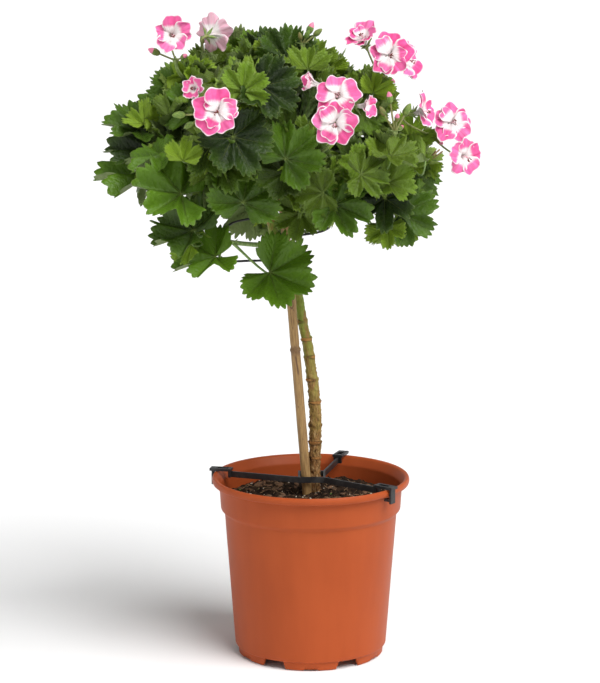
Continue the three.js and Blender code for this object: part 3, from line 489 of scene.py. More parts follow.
class Piece:
    """A finished object of the scene, which rides on the body and stands for nodes."""

    made: dict[str, int] = {}

    @staticmethod
    def make(name: str, surface: Surface, material: Material, slot: str, nodes: Sequence[str] = (),
             smooth_faces: bool = True) -> bpy.types.Object:
        """Puts a surface into the scene.

        Args:
            name: the piece's name.
            surface: its surface, in millimetres from the pot's axis.
            material: its finish.
            slot: a material slot's name, which is not used.
            nodes: the construction nodes that it stands for.
            smooth_faces: whether its shading is smooth.

        Returns:
            The new object, at the origin.
        """
        mesh = bpy.data.meshes.new(name)
        faces = surface.quads.tolist() + surface.triangles.tolist()
        mesh.from_pydata(((surface.points + POT_AXIS) * MM).astype(np.float32), [], faces)
        mesh.polygons.foreach_set("use_smooth", np.full(len(faces), smooth_faces))
        for key, value in surface.values.items():
            kind = "FLOAT_VECTOR" if value.ndim == 2 else "FLOAT"
            store = mesh.attributes.new(key, kind, "POINT")
            store.data.foreach_set("vector" if value.ndim == 2 else "value", value.astype(np.float32).ravel())
        mesh.update(calc_edges=True)
        mesh.validate()
        mesh.materials.append(material)
        piece = linked(name, mesh)
        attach(piece, BODY)
        if nodes:
            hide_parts(*nodes)
        Piece.made[name] = surface.count()
        LOG.info("%s: %d triangles", name, surface.count())
        return piece


# Shader maths and finishes

MIXED_COLOUR = 2


def operator(operation: str, swapped: bool = False) -> Callable:
    """An operator method of Number that adds one Math node.

    Args:
        operation: the node's operation.
        swapped: whether the plain number comes first.

    Returns:
        The method.
    """

    def method(number: Number, other: Number | float) -> Number:
        """The result of the operation."""
        return number.math(operation, first=other) if swapped else number.math(operation, other)

    return method


class Number:
    """A number socket of a node tree, which adds Math nodes where it is used in an expression."""

    def __init__(self, tree: Finish, socket: Socket) -> None:
        """Wraps a socket of the tree."""
        self.tree = tree
        self.socket = socket

    def math(self, operation: str, *others: Number | float, first: Number | float | None = None) -> Number:
        """A Math node that works on this number.

        Args:
            operation: the node's operation.
            *others: what follows this number.
            first: what comes before it.

        Returns:
            The result.
        """
        values = [self, *others] if first is None else [first, self]
        node = self.tree.add("ShaderNodeMath", {"operation": operation}, dict(enumerate(values)))
        return Number(self.tree, node.outputs[0])

    __add__ = __radd__ = operator("ADD")
    __sub__, __rsub__ = operator("SUBTRACT"), operator("SUBTRACT", True)
    __mul__ = __rmul__ = operator("MULTIPLY")
    __truediv__, __rtruediv__ = operator("DIVIDE"), operator("DIVIDE", True)
    __pow__ = operator("POWER")

    def rise(self, low: float, high: float) -> Number:
        """A smooth step; low may be the larger one.

        Args:
            low: where the step is 0.
            high: where it is 1.

        Returns:
            The step.
        """
        steps = (low, high, 0.0, 1.0) if low <= high else (high, low, 1.0, 0.0)
        sockets = dict(zip(("Value", "From Min", "From Max", "To Min", "To Max"), (self, *steps)))
        settings = {"interpolation_type": "SMOOTHSTEP", "clamp": True}
        return Number(self.tree, self.tree.add("ShaderNodeMapRange", settings, sockets).outputs["Result"])


class Finish:
    """A material under construction: one principled shader and the nodes that feed it."""

    def __init__(self, name: str, roughness: float, **uniform: float | Colour) -> None:
        """Makes the material and sets its uniform values on the shader's own sockets.

        Args:
            name: the material's name.
            roughness: its plain roughness.
            **uniform: other values by socket name.
        """
        self.material = bpy.data.materials.new(name)
        self.material.use_nodes = True
        self.nodes = self.material.node_tree.nodes
        self.links = self.material.node_tree.links
        self.shader = self.nodes["Principled BSDF"]
        self.shader.inputs["Roughness"].default_value = roughness
        for key, value in uniform.items():
            socket = self.shader.inputs[key.replace("_", " ").title().replace("Ior", "IOR")]
            socket.default_value = (*value, 1.0) if isinstance(value, tuple) else value

    def add(self, kind: str, settings: dict, sockets: dict) -> bpy.types.Node:
        """Adds a node.

        Args:
            kind: the node's type.
            settings: its properties.
            sockets: values or links by socket name, identifier or number.

        Returns:
            The node.
        """
        node = self.nodes.new(kind)
        for key, value in settings.items():
            setattr(node, key, value)
        for key, value in sockets.items():
            self.feed(self.socket_of(node, key), value)
        return node

    @staticmethod
    def socket_of(node: bpy.types.Node, key: str | int) -> Socket:
        """A node's input, by number, identifier or name.

        Args:
            node: the node.
            key: which input.

        Returns:
            The input.
        """
        if isinstance(key, int):
            return node.inputs[key]
        found = [s for s in node.inputs if s.identifier == key]
        return found[0] if found else node.inputs[key]

    def feed(self, socket: Socket, value: object) -> None:
        """Links a socket or sets its value.

        Args:
            socket: the input.
            value: a number, a colour or what to link.
        """
        if isinstance(value, Number):
            value = value.socket
        if isinstance(value, Socket):
            self.links.new(value, socket)
        elif isinstance(value, tuple) and len(socket.default_value) == 4:
            socket.default_value = (*value, 1.0)
        else:
            socket.default_value = value

    def set(self, **sockets: object) -> None:
        """Feeds the shader's varying sockets, such as base_color, roughness or normal."""
        for key, value in sockets.items():
            self.feed(self.shader.inputs[key.replace("_", " ").title()], value)

    def object_place(self) -> Socket:
        """Object coordinates, in metres."""
        return self.add("ShaderNodeTexCoord", {}, {}).outputs["Object"]

    def attribute(self, name: str) -> bpy.types.Node:
        """The node of a value stored at each point."""
        return self.add("ShaderNodeAttribute", {"attribute_name": name}, {})

    def number(self, name: str) -> Number:
        """A stored number."""
        return Number(self, self.attribute(name).outputs["Fac"])

    def parts(self, vector: Socket) -> tuple[Number, Number, Number]:
        """The three numbers of a vector."""
        node = self.add("ShaderNodeSeparateXYZ", {}, {"Vector": vector})
        return tuple(Number(self, node.outputs[k]) for k in range(3))

    def scaled(self, vector: Socket, scale: Colour) -> Socket:
        """A vector times another, part by part."""
        node = self.add("ShaderNodeVectorMath", {"operation": "MULTIPLY"}, {0: vector, 1: scale})
        return node.outputs["Vector"]

    def noise(
        self, vector: Socket, scale: float, detail: float = 3.0, roughness: float = 0.55, along: float = 1.0
    ) -> Number:
        """Noise between 0 and 1, stretched where along is less than 1.

        Args:
            vector: coordinates.
            scale: how fine it is.
            detail: its octaves.
            roughness: strength of the fine ones.
            along: factor of the last part.

        Returns:
            The noise.
        """
        vector = vector if along == 1.0 else self.scaled(vector, (1.0, 1.0, along))
        sockets = {"Vector": vector, "Scale": scale, "Detail": detail, "Roughness": roughness}
        return Number(self, self.add("ShaderNodeTexNoise", {}, sockets).outputs["Fac"])

    def cells(self, vector: Socket, scale: float, feature: str = "F1") -> Number:
        """Distance in a cell pattern."""
        node = self.add("ShaderNodeTexVoronoi", {"feature": feature}, {"Vector": vector, "Scale": scale})
        return Number(self, node.outputs["Distance"])

    def mix(self, factor: object, first: object, second: object) -> Socket:
        """A colour between two, by a factor that gives the first where it is 0."""
        sockets = {"Factor_Float": factor, "A_Color": first, "B_Color": second}
        return self.add("ShaderNodeMix", {"data_type": "RGBA"}, sockets).outputs[MIXED_COLOUR]

    def bump(self, height: Number, distance: float, strength: float = 1.0) -> None:
        """Feeds the shader's normal with a bump of a height, whose 1 stands for a distance in metres."""
        sockets = {"Height": height, "Distance": distance, "Strength": strength}
        self.set(normal=self.add("ShaderNodeBump", {}, sockets).outputs["Normal"])


@dataclass(frozen=True)
class PotPlastic:
    """Satin terracotta-coloured plastic with faint moulding streaks and dust."""

    light: Colour = (0.405, 0.078, 0.020)
    dark: Colour = (0.360, 0.067, 0.017)

    def build(self) -> Material:
        """The material, on object coordinates."""
        finish = Finish("terracotta_plastic", 0.42, specular_ior_level=0.14)
        place = finish.object_place()
        streaks = finish.noise(place, 70.0, 4.0, along=0.16)
        clouds = finish.noise(place, 16.0, 3.0)
        grain = finish.noise(place, 1400.0, 2.0)
        tone = (streaks * 0.5 + clouds * 0.5).rise(0.3, 0.7)
        finish.set(
            base_color=finish.mix(tone, self.dark, self.light),
            roughness=0.36 + clouds * 0.12 + grain * 0.06,
        )
        finish.bump(grain * 0.25 + streaks * 0.75, 0.0001, 0.5)
        return finish.material


@dataclass(frozen=True)
class Peat:
    """Moist dark peat with fibres and paler grains."""

    deep: Colour = (0.007, 0.004, 0.003)
    brown: Colour = (0.044, 0.024, 0.013)
    fibre: Colour = (0.19, 0.115, 0.06)

    def build(self) -> Material:
        """The material, on object coordinates."""
        finish = Finish("peat", 0.95, specular_ior_level=0.12)
        place = finish.object_place()
        clods = finish.noise(place, 160.0, 6.0, 0.7)
        grains = finish.cells(place, 620.0)
        fibres = finish.noise(finish.scaled(place, (1.0, 0.25, 1.0)), 900.0, 3.0)
        base = finish.mix(clods.rise(0.35, 0.68), self.deep, self.brown)
        finish.set(base_color=finish.mix(fibres.rise(0.64, 0.74), base, self.fibre))
        finish.bump(clods + grains * 0.35, 0.0016)
        return finish.material


@dataclass(frozen=True)
class Bamboo:
    """Dry tan cane with long fibres, brown stains, a darker ring at its node, a split under it and a knot above."""

    pale: Colour = (0.48, 0.300, 0.110)
    brown: Colour = (0.21, 0.110, 0.036)
    stain: Colour = (0.115, 0.050, 0.022)
    node_along: float = 269.0
    knot_above: float = 45.0

    def build(self) -> Material:
        """The material, on the cane's straight coordinates."""
        finish = Finish("bamboo", 0.5)
        straight = finish.attribute("straight").outputs["Vector"]
        along = finish.parts(straight)[2]
        fibres = finish.noise(straight, 1.6, 5.0, 0.6, along=0.035)
        blotches = finish.noise(straight, 0.11, 4.0, 0.6, along=0.22)
        specks = finish.noise(straight, 0.9, 3.0, along=0.3)
        node = (along - self.node_along).math("ABSOLUTE").rise(7.0, 1.0)
        base = finish.mix(fibres.rise(0.3, 0.72), self.brown, self.pale)
        base = finish.mix(blotches.rise(0.56, 0.78) * 0.7, base, self.stain)
        base = finish.mix(specks.rise(0.62, 0.70) * 0.7, base, self.stain)
        base = finish.mix(node * 0.6, base, self.stain)
        above, aside = along - self.node_along, finish.number("aside")
        split = (aside + above * 0.1 + 1.0).math("ABSOLUTE").rise(1.2, 0.3)
        split = split * (above + 14.0).math("ABSOLUTE").rise(11.0, 7.0)
        eye = ((aside * 2.4) ** 2 + (above - self.knot_above) ** 2).math("SQRT")
        knot = (eye - 4.0).math("ABSOLUTE").rise(1.5, 0.5).math("MAXIMUM", eye.rise(1.8, 0.8))
        base = finish.mix(split.math("MAXIMUM", knot) * 0.85, base, self.stain)
        finish.set(base_color=base, roughness=0.42 + fibres * 0.25)
        finish.bump(fibres + specks * 0.3, 0.00025)
        return finish.material


@dataclass(frozen=True)
class Bark:
    """A young trunk's skin: green and smooth at the top, brown, scaly and cracked lower down."""

    green: Colour = (0.215, 0.305, 0.045)
    olive: Colour = (0.290, 0.225, 0.052)
    brown: Colour = (0.310, 0.155, 0.055)
    crack: Colour = (0.050, 0.021, 0.010)
    scale: Colour = (0.560, 0.380, 0.190)
    scar_skin: Colour = (0.390, 0.175, 0.050)

    def build(self) -> Material:
        """The material, on the trunk's straight coordinates and its stored height and scars."""
        finish = Finish("bark", 0.75, specular_ior_level=0.2)
        straight = finish.attribute("straight").outputs["Vector"]
        height, scar = finish.number("height"), finish.number("scar")
        patches = finish.noise(straight, 0.12, 4.0, along=0.4)
        cracks = finish.noise(straight, 0.75, 5.0, 0.65, along=0.22)
        plates = finish.cells(finish.scaled(straight, (1.0, 1.0, 0.5)), 0.42, "DISTANCE_TO_EDGE")
        age = (height + patches * 190.0).rise(405.0, 250.0)
        base = finish.mix((height + patches * 120.0).rise(300.0, 430.0), self.olive, self.green)
        base = finish.mix(age, base, self.brown)
        blotches = finish.noise(straight, 0.2, 3.0, along=0.35)
        base = finish.mix(blotches.rise(0.5, 0.62) * 0.75, base, self.brown)
        base = finish.mix((age * 0.8 + 0.15) * cracks.rise(0.53, 0.66), base, self.scale)
        base = finish.mix((age * 0.7 + 0.3) * cracks.rise(0.47, 0.38), base, self.crack)
        base = finish.mix(scar.rise(0.15, 0.6) * 0.8, base, self.scar_skin)
        base = finish.mix(scar.rise(0.02, 0.2) * scar.rise(0.5, 0.25) * 0.6, base, self.crack)
        finish.set(base_color=base, roughness=0.55 + age * 0.35)
        finish.bump(cracks * (age * 0.9 + 0.15) + plates.rise(0.0, 0.12) * age * 0.3, 0.0020)
        return finish.material


@dataclass(frozen=True)
class LeafSkin:
    """A leaf: deep green above with paler veins and margin, greyer below, yellower while it is young."""

    deep: Colour = (0.0045, 0.015, 0.0010)
    fresh: Colour = (0.098, 0.205, 0.009)
    young: Colour = (0.300, 0.460, 0.030)
    vein: Colour = (0.200, 0.270, 0.060)
    below: Colour = (0.160, 0.215, 0.075)
    lobe_step: float = 52.0
    rung: float = 0.135

    def build(self) -> Material:
        """The material, on the blade's own coordinates: across, along, and 1 on the upper face."""
        finish = Finish("leaf_skin", 0.45, specular_ior_level=0.3)
        blade = finish.attribute("blade").outputs["Vector"]
        across, along, upper = finish.parts(blade)
        tone, youth, edge = finish.number("tone"), finish.number("youth"), finish.number("edge")
        reach = (across * across + along * along).math("SQRT")
        angle = across.math("ARCTAN2", along) * (180.0 / math.pi)
        lobe = (angle / self.lobe_step).math("ROUND") * self.lobe_step
        turn = (angle - lobe) * (math.pi / 180.0)
        forward = reach * turn.math("COSINE")
        aside = (reach * turn.math("SINE")).math("ABSOLUTE")
        main = aside.rise(0.017, 0.003) * reach.rise(1.05, 0.1)
        warp = finish.noise(blade, 5.0, 2.0)
        step = ((forward - aside * 1.15 + warp * 0.16) / self.rung).math("FRACT")
        side = (step - 0.5).math("ABSOLUTE").rise(0.40, 0.5) * aside.rise(0.34, 0.02)
        mesh = finish.cells(blade, 30.0, "DISTANCE_TO_EDGE").rise(0.06, 0.0) * 0.25
        veins = main.math("MAXIMUM", side * 0.35).math("MAXIMUM", mesh)
        clouds = finish.noise(finish.object_place(), 55.0, 3.0)
        patches = finish.noise(blade, 3.2, 3.0)
        shade = tone * 0.65 + clouds * 0.3 + patches * 0.4 + reach * 0.45
        base = finish.mix(shade.rise(0.62, 1.65), self.deep, self.fresh)
        base = finish.mix(youth * (patches * 0.6 + 0.6), base, self.young)
        base = finish.mix(veins * 0.4, base, self.vein)
        base = finish.mix(edge.rise(0.9, 0.1) * 0.45, base, self.vein)
        base = finish.mix(reach.rise(0.10, 0.0) * 0.7, base, self.vein)
        under = finish.mix(main * 0.5, self.below, self.vein)
        under = finish.mix(youth * 0.5, under, self.young)
        finish.set(
            base_color=finish.mix(upper, under, base),
            roughness=0.56 - upper * 0.22 + clouds * 0.14,
        )
        quilt = (step - 0.5) * (step - 0.5) * -2.0
        relief = finish.noise(blade, 14.0, 4.0)
        finish.bump(relief + quilt * 0.3 - main, 0.0015)
        return finish.material


@dataclass(frozen=True)
class GreenShoot:
    """Stems, petioles, flower stalks and bracts: soft green, flushed brown-red by a stored blush."""

    name: str = "green_shoot"
    green: Colour = (0.150, 0.270, 0.050)
    pale: Colour = (0.300, 0.420, 0.130)
    blush: Colour = (0.330, 0.090, 0.060)

    def build(self) -> Material:
        """The material, on object coordinates."""
        finish = Finish(self.name, 0.55, sheen_weight=0.15)
        place = finish.object_place()
        streaks = finish.noise(place, 420.0, 3.0)
        clouds = finish.noise(place, 60.0, 2.0)
        base = finish.mix(streaks.rise(0.35, 0.7), self.green, self.pale)
        flush = finish.number("blush") * (clouds * 0.7 + 0.5)
        finish.set(base_color=finish.mix(flush, base, self.blush), roughness=0.45 + streaks * 0.2)
        finish.bump(streaks, 0.0002)
        return finish.material


@dataclass(frozen=True)
class PetalSkin:
    """A petal: white at the throat, pink beyond, with fine veins, dark throat lines and a thin white rim."""

    white: Colour = (0.90, 0.83, 0.82)
    pink: Colour = (0.80, 0.078, 0.285)
    rose: Colour = (0.86, 0.195, 0.440)
    rim: Colour = (0.92, 0.62, 0.72)
    lines: Colour = (0.42, 0.010, 0.075)
    back: Colour = (0.86, 0.46, 0.58)
    pink_from: float = 0.37

    def build(self) -> Material:
        """The material, on the petal's own coordinates: across, along, and 1 on the inner face."""
        finish = Finish("petal_skin", 0.6, specular_ior_level=0.2)
        petal = finish.attribute("petal").outputs["Vector"]
        across, along, inner = finish.parts(petal)
        rim, tone, marks = finish.number("rim"), finish.number("tone"), finish.number("marks")
        fan = (across / (along + 0.12)) * 30.0
        place = finish.object_place()
        streaks = finish.noise(finish.scaled(petal, (26.0, 4.0, 1.0)), 1.0, 3.0)
        veins = (fan + streaks * 2.6).math("SINE").rise(0.4, 1.0)
        clouds = finish.noise(place, 170.0, 3.0)
        blotch = finish.noise(place, 60.0, 2.0)
        start = self.pink_from + (streaks - 0.5) * 0.2 + (tone - 0.5) * 0.10 + (blotch - 0.5) * 0.2
        colour = (along - start).rise(0.0, 0.2)
        pink = finish.mix((clouds * 0.5 + tone * 0.3 + blotch * 0.4).rise(0.35, 0.85), self.pink, self.rose)
        base = finish.mix(colour, self.white, pink)
        base = finish.mix(colour * veins * 0.16, base, self.pink)
        base = finish.mix(rim.rise(1.6, 0.2) * (0.45 + (clouds - 0.5) * 0.8), base, self.rim)
        base = finish.mix(rim.rise(1.15, 0.4) * 0.85, base, self.white)
        dark = marks * veins * (along - 0.16).math("ABSOLUTE").rise(0.13, 0.03)
        base = finish.mix(dark * 0.18, base, self.lines)
        behind = finish.mix(colour * 0.85, self.white, self.back)
        behind = finish.mix(veins * 0.15 * colour, behind, self.pink)
        behind = finish.mix(rim.rise(0.8, 0.1) * 0.7, behind, self.white)
        finish.set(base_color=finish.mix(inner, behind, base), roughness=0.52 + clouds * 0.12)
        finish.bump(veins * 0.5 + streaks * 0.5, 0.0003)
        return finish.material


@dataclass(frozen=True)
class BudSkin:
    """Buds: hairy green, with petal pink showing at the tips that are about to open."""

    green: Colour = (0.085, 0.180, 0.020)
    pale: Colour = (0.250, 0.360, 0.070)
    brown: Colour = (0.230, 0.085, 0.050)
    pink: Colour = (0.84, 0.24, 0.38)

    def build(self) -> Material:
        """The material, on straight coordinates and the stored ripeness, from 0 at a green tip to 1 at a pink one."""
        finish = Finish("bud_skin", 0.6, sheen_weight=0.08)
        straight = finish.attribute("straight").outputs["Vector"]
        streaks = finish.noise(straight, 1.4, 3.0, along=0.2)
        ripe, blush = finish.number("ripe"), finish.number("blush")
        base = finish.mix(streaks.rise(0.35, 0.7), self.green, self.pale)
        base = finish.mix(blush * streaks.rise(0.3, 0.6), base, self.brown)
        finish.set(base_color=finish.mix(ripe.rise(0.35, 0.65), base, self.pink), roughness=0.5 + streaks * 0.2)
        finish.bump(streaks, 0.0003)
        return finish.material


@dataclass(frozen=True)
class PlainSkin:
    """A part's own colour, with a mottle that also changes its shine, and a fine grain."""

    name: str
    base: Colour
    mottle: Colour
    roughness: float = 0.6
    scale: float = 500.0
    dusty: bool = False

    def build(self) -> Material:
        """The material, on object coordinates."""
        finish = Finish(self.name, self.roughness)
        place = finish.object_place()
        clouds = finish.noise(place, self.scale, 4.0 if self.dusty else 3.0)
        share = clouds.rise(0.45, 0.75) * 0.6 if self.dusty else clouds.rise(0.4, 0.7)
        less, more = (0.06, 0.25) if self.dusty else (0.08, 0.16)
        finish.set(
            base_color=finish.mix(share, self.base, self.mottle), roughness=self.roughness - less + clouds * more,
        )
        finish.bump(*((finish.noise(place, 2200.0, 2.0), 0.00008, 0.6) if self.dusty else (clouds, 0.0002)))
        return finish.material


# The pot, the soil and what stands on them


@dataclass
class NurseryPot:
    """The moulded pot: a turned shell with a rolled rim, a collar, feet with notches and drain slots."""

    sides: int = 360
    feet: int = 6
    notch_degrees: float = 18.0
    notch_height: float = 7.4
    recess_half_width: float = 7.0
    recess_height: float = 1.2
    foot_radius: float = 70.4
    slot_size: tuple[float, float, float] = (9.0, 13.0, 6.0)
    slot_place: tuple[float, float, float] = (62.0, 0.0, 9.0)

    def profile(self) -> Array:
        """Radius and height round the wall, with its corners rounded by a short arc at each."""
        rows = np.array(POT_PROFILE, float)
        corners, to_before, to_after = rows[1:-1], rows[:-2] - rows[1:-1], rows[2:] - rows[1:-1]
        reach = np.minimum(*(np.linalg.norm(way, axis=1, keepdims=True) for way in (to_before, to_after)))
        bend = np.minimum(0.42 * reach, 1.3)
        rows = bezier(corners + unit(to_before) * bend, corners, corners + unit(to_after) * bend, 5).reshape(-1, 2)
        axis_out = np.array([[6.0, POT_PROFILE[0][1]], [36.0, POT_PROFILE[0][1]]])
        axis_in = np.array([[36.0, POT_PROFILE[-1][1]], [6.0, POT_PROFILE[-1][1]]])
        return np.vstack([axis_out, rows, axis_in])

    def surface(self) -> Surface:
        """The shell: profile rows turned round the axis. Each notch and recess lifts the feet's lowest rows."""
        rows = self.profile()
        angle = np.linspace(0, 2 * math.pi, self.sides, endpoint=False)
        step = 2 * math.pi / self.feet
        from_foot = np.abs((angle + math.pi / 2 + step / 2) % step - step / 2)
        notch_start = step / 2 - math.radians(self.notch_degrees / 2)
        notch = smooth(notch_start - 0.008, notch_start + 0.008, from_foot)
        recess = 1 - smooth(self.recess_half_width - 0.7, self.recess_half_width + 0.7, from_foot * self.foot_radius)
        lift = np.maximum(notch * self.notch_height, recess * self.recess_height)
        radius, height = rows[:, 0][:, None], rows[:, 1][:, None]
        outside = radius > 60
        z = np.where(outside & (height < 8.4), np.maximum(height, lift[None, :]), height)
        ring = np.stack([radius * np.cos(angle), radius * np.sin(angle), z], -1)
        poles = np.array([[0, 0, POT_PROFILE[0][1]], [0, 0, POT_PROFILE[-1][1]]], float)
        return ringed(ring[None], poles[None])

    def build(self, material: Material) -> None:
        """Makes the pot and cuts its drain slots.

        Args:
            material: the pot's finish.
        """
        pot = Piece.make("pot_shell", self.surface(), material, "terracotta_plastic", ["nursery_pot"])
        cutters = [self.slot(-60 + 360 * k / self.feet) for k in range(self.feet)]
        cutter = Piece.make("slot_cutter", Surface.join(cutters), material, "terracotta_plastic")
        cut = pot.modifiers.new("drain_slots", "BOOLEAN")
        cut.operation = "DIFFERENCE"
        cut.solver = "EXACT"
        cut.object = cutter
        bpy.context.view_layer.update()
        evaluated = pot.evaluated_get(bpy.context.evaluated_depsgraph_get())
        pot.data = bpy.data.meshes.new_from_object(evaluated)
        pot.modifiers.clear()
        pot.data.shade_smooth()
        bpy.data.objects.remove(cutter)

    def slot(self, turn: float) -> Surface:
        """A box that cuts one drain slot, turned about the axis.

        Args:
            turn: degrees round the axis.

        Returns:
            The box.
        """
        corner = np.array([[x, y, z] for x in (-0.5, 0.5) for y in (-0.5, 0.5) for z in (-0.5, 0.5)])
        points = corner * self.slot_size + self.slot_place
        angle = math.radians(turn)
        spin = np.array([[math.cos(angle), math.sin(angle), 0], [-math.sin(angle), math.cos(angle), 0], [0, 0, 1]])
        quads = np.array([[0, 1, 3, 2], [4, 6, 7, 5], [0, 4, 5, 1], [2, 3, 7, 6], [0, 2, 6, 4], [1, 5, 7, 3]])
        return repeated((points @ spin)[None], quads, np.zeros((0, 3), int), {})


@dataclass
class Soil:
    """Peat that fills the pot, with a rough mounded top, bark chips, fibres, pale grains and a little moss."""

    rings: int = 130
    sides: int = 260
    mound: float = 3.0
    floor: float = 10.3
    chips: int = 150
    fibres: int = 170
    grains: int = 90
    moss: int = 24

    def top_height(self, x: Array, y: Array) -> Array:
        """Height of the top: a mound that falls to the wall, low waves and finer clods.

        Args:
            x: across.
            y: towards the back.

        Returns:
            The heights.
        """
        radius = np.hypot(x, y)
        mound = SOIL_TOP + self.mound * np.cos(np.clip(radius / SOIL_RADIUS, 0, 1) * math.pi / 2)
        low = np.sin(0.21 * x + 1.3) * np.cos(0.17 * y - 0.6) + 0.6 * np.sin(0.37 * x - 0.29 * y)
        place = np.stack([x, y, 0 * x], -1)
        clods = 1.1 * waves(place, 13.0, 3) + 0.75 * waves(place, 5.5, 4) + 0.45 * waves(place, 2.6, 5)
        return mound + 1.2 * low + clods

    def surface(self) -> Surface:
        """The body: a polar grid for the top, then the side down the wall, closed by poles."""
        share = np.linspace(0.012, 1, self.rings)
        angle = np.linspace(0, 2 * math.pi, self.sides, endpoint=False)
        radius = share[:, None] * (SOIL_RADIUS - 0.1)
        x, y = radius * np.cos(angle), radius * np.sin(angle)
        top = np.stack([x, y, self.top_height(x, y)], -1)
        wall = np.array([(83.9, SOIL_TOP - 4), (80.0, 137.0), (79.9, 136.6), (70.4, self.floor)])
        side = np.stack([wall[:, :1] * np.cos(angle), wall[:, :1] * np.sin(angle), wall[:, 1:] + 0 * angle], -1)
        rows = np.concatenate([top, side])
        poles = np.array([[0, 0, float(self.top_height(np.zeros(1), np.zeros(1))[0])], [0, 0, self.floor]])
        return ringed(rows[None], poles[None])

    def scatter(self, count: int, seed: int) -> tuple[Array, Random]:
        """Places on the top for small things, clear of the wall.

        Args:
            count: how many.
            seed: which places.

        Returns:
            The places and the generator.
        """
        rng = np.random.default_rng(seed)
        radius = (SOIL_RADIUS - 5) * np.sqrt(rng.uniform(0, 1, count))
        angle = rng.uniform(0, 2 * math.pi, count)
        x, y = radius * np.cos(angle), radius * np.sin(angle)
        return np.stack([x, y, self.top_height(x, y)], -1), rng

    def lumps(self, count: int, seed: int, size: Array, lift: float) -> Surface:
        """Flat rough lumps that lie on the top: low-sided balls squeezed along three turned axes.

        Args:
            count: how many.
            seed: which places and turns are drawn.
            size: half sizes of the largest lump.
            lift: how far the middle stands over the soil, as a share of the thickness.

        Returns:
            The surface.
        """
        places, rng = self.scatter(count, seed)
        scale = size * rng.uniform(0.35, 1.0, (count, 1)) * rng.uniform(0.7, 1.3, (count, 3))
        turn = rng.uniform(0, 2 * math.pi, count)
        tilt = rng.normal(0, 0.28, (count, 2))
        first = unit(np.stack([np.cos(turn), np.sin(turn), tilt[:, 0]], -1))
        second = unit(np.cross(np.stack([tilt[:, 1], 0 * turn, 1 + 0 * turn], -1), first))
        third = np.cross(first, second)
        latitude = np.array([-0.9, -0.35, 0.35, 0.9])
        angle = np.linspace(0, 2 * math.pi, 6, endpoint=False)
        level = np.cos(latitude)[:, None]
        ball = np.stack([level * np.cos(angle), level * np.sin(angle), np.sin(latitude)[:, None] + 0 * angle], -1)
        ball = np.vstack([ball.reshape(-1, 3), [[0, 0, -1], [0, 0, 1]]])
        shape = ball[None] * (1 + rng.uniform(-0.25, 0.25, (count, len(ball), 1)))
        axes = np.stack([first, second, third], 1) * scale[:, :, None]
        points = places[:, None] + np.einsum("nvk,nkj->nvj", shape, axes)
        points[:, :, 2] += (lift * scale[:, 2])[:, None]
        return ringed(points[:, :-2].reshape(count, 4, 6, 3), points[:, -2:])

    def fibre_surface(self) -> Surface:
        """Thin bent roots and fibres that lie on the top."""
        places, rng = self.scatter(self.fibres, 41)
        turn = rng.uniform(0, 2 * math.pi, self.fibres)
        length = rng.uniform(4, 15, self.fibres)[:, None]
        way = np.stack([np.cos(turn), np.sin(turn), rng.normal(0, 0.12, self.fibres)], -1)
        start, end = places - way * length / 2, places + way * length / 2
        bend = places + rng.normal(0, 1.0, places.shape) * length * 0.16
        paths = bezier(start, bend, end, 6)
        inside = np.minimum(1, (SOIL_RADIUS - 3) / np.maximum(np.hypot(paths[..., 0], paths[..., 1]), 1e-6))
        paths[..., :2] *= inside[..., None]
        ground = self.top_height(paths[..., 0], paths[..., 1])
        paths[..., 2] = np.maximum(ground + 0.25, 0.5 * (ground + paths[..., 2]))
        radii = np.broadcast_to(rng.uniform(0.22, 0.5, (self.fibres, 1)), paths.shape[:2])
        return tubes(paths, radii, 4)

    def build(self, peat: Material) -> None:
        """Makes the soil and what lies on it.

        Args:
            peat: the body's finish.
        """
        Piece.make("peat_body", self.surface(), peat, "peat", ["soil"])
        chip = PlainSkin("bark_chip", (0.15, 0.075, 0.035), (0.045, 0.022, 0.012), 0.85, 380.0).build()
        root = PlainSkin("peat_fibre", (0.22, 0.13, 0.065), (0.09, 0.05, 0.025), 0.85, 380.0).build()
        grain = PlainSkin("pale_grain", (0.62, 0.55, 0.45), (0.38, 0.31, 0.22), 0.8, 700.0).build()
        moss = PlainSkin("moss", (0.10, 0.20, 0.03), (0.04, 0.09, 0.015), 0.85, 800.0).build()
        lumps = np.array([5.2, 2.9, 1.2])
        Piece.make("bark_chips", self.lumps(self.chips, 37, lumps, 0.35), chip, "peat", smooth_faces=False)
        Piece.make("peat_fibres", self.fibre_surface(), root, "peat")
        small = np.array([1.4, 1.1, 0.8])
        Piece.make("pale_grains", self.lumps(self.grains, 43, small, 0.4), grain, "peat", smooth_faces=False)
        Piece.make("moss_specks", self.lumps(self.moss, 47, np.array([2.2, 1.8, 1.1]), 0.3), moss, "peat")


def moulded(name: str, node: str, material: Material, width: float) -> None:
    """Keeps a construction part as it is, with a bevel on its sharp edges.

    Args:
        name: the new piece's name.
        node: the node that it stands for.
        material: its finish.
        width: the bevel's width, in millimetres.
    """
    source = bpy.data.objects[node]
    shape = bmesh.new()
    shape.from_mesh(source.data)
    bmesh.ops.remove_doubles(shape, verts=shape.verts, dist=1e-6)
    bmesh.ops.dissolve_limit(shape, angle_limit=math.radians(1), verts=shape.verts, edges=shape.edges)
    mesh = bpy.data.meshes.new(name)
    shape.to_mesh(mesh)
    shape.free()
    mesh.materials.clear()
    mesh.materials.append(material)
    piece = linked(name, mesh)
    bevel = piece.modifiers.new("rounded_edges", "BEVEL")
    bevel.width = width * MM
    bevel.segments = 2
    bevel.limit_method = "ANGLE"
    bevel.angle_limit = math.radians(35)
    mesh.shade_smooth()
    weighted = piece.modifiers.new("flat_faces", "WEIGHTED_NORMAL")
    weighted.keep_sharp = True
    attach(piece, BODY)
    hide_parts(node)


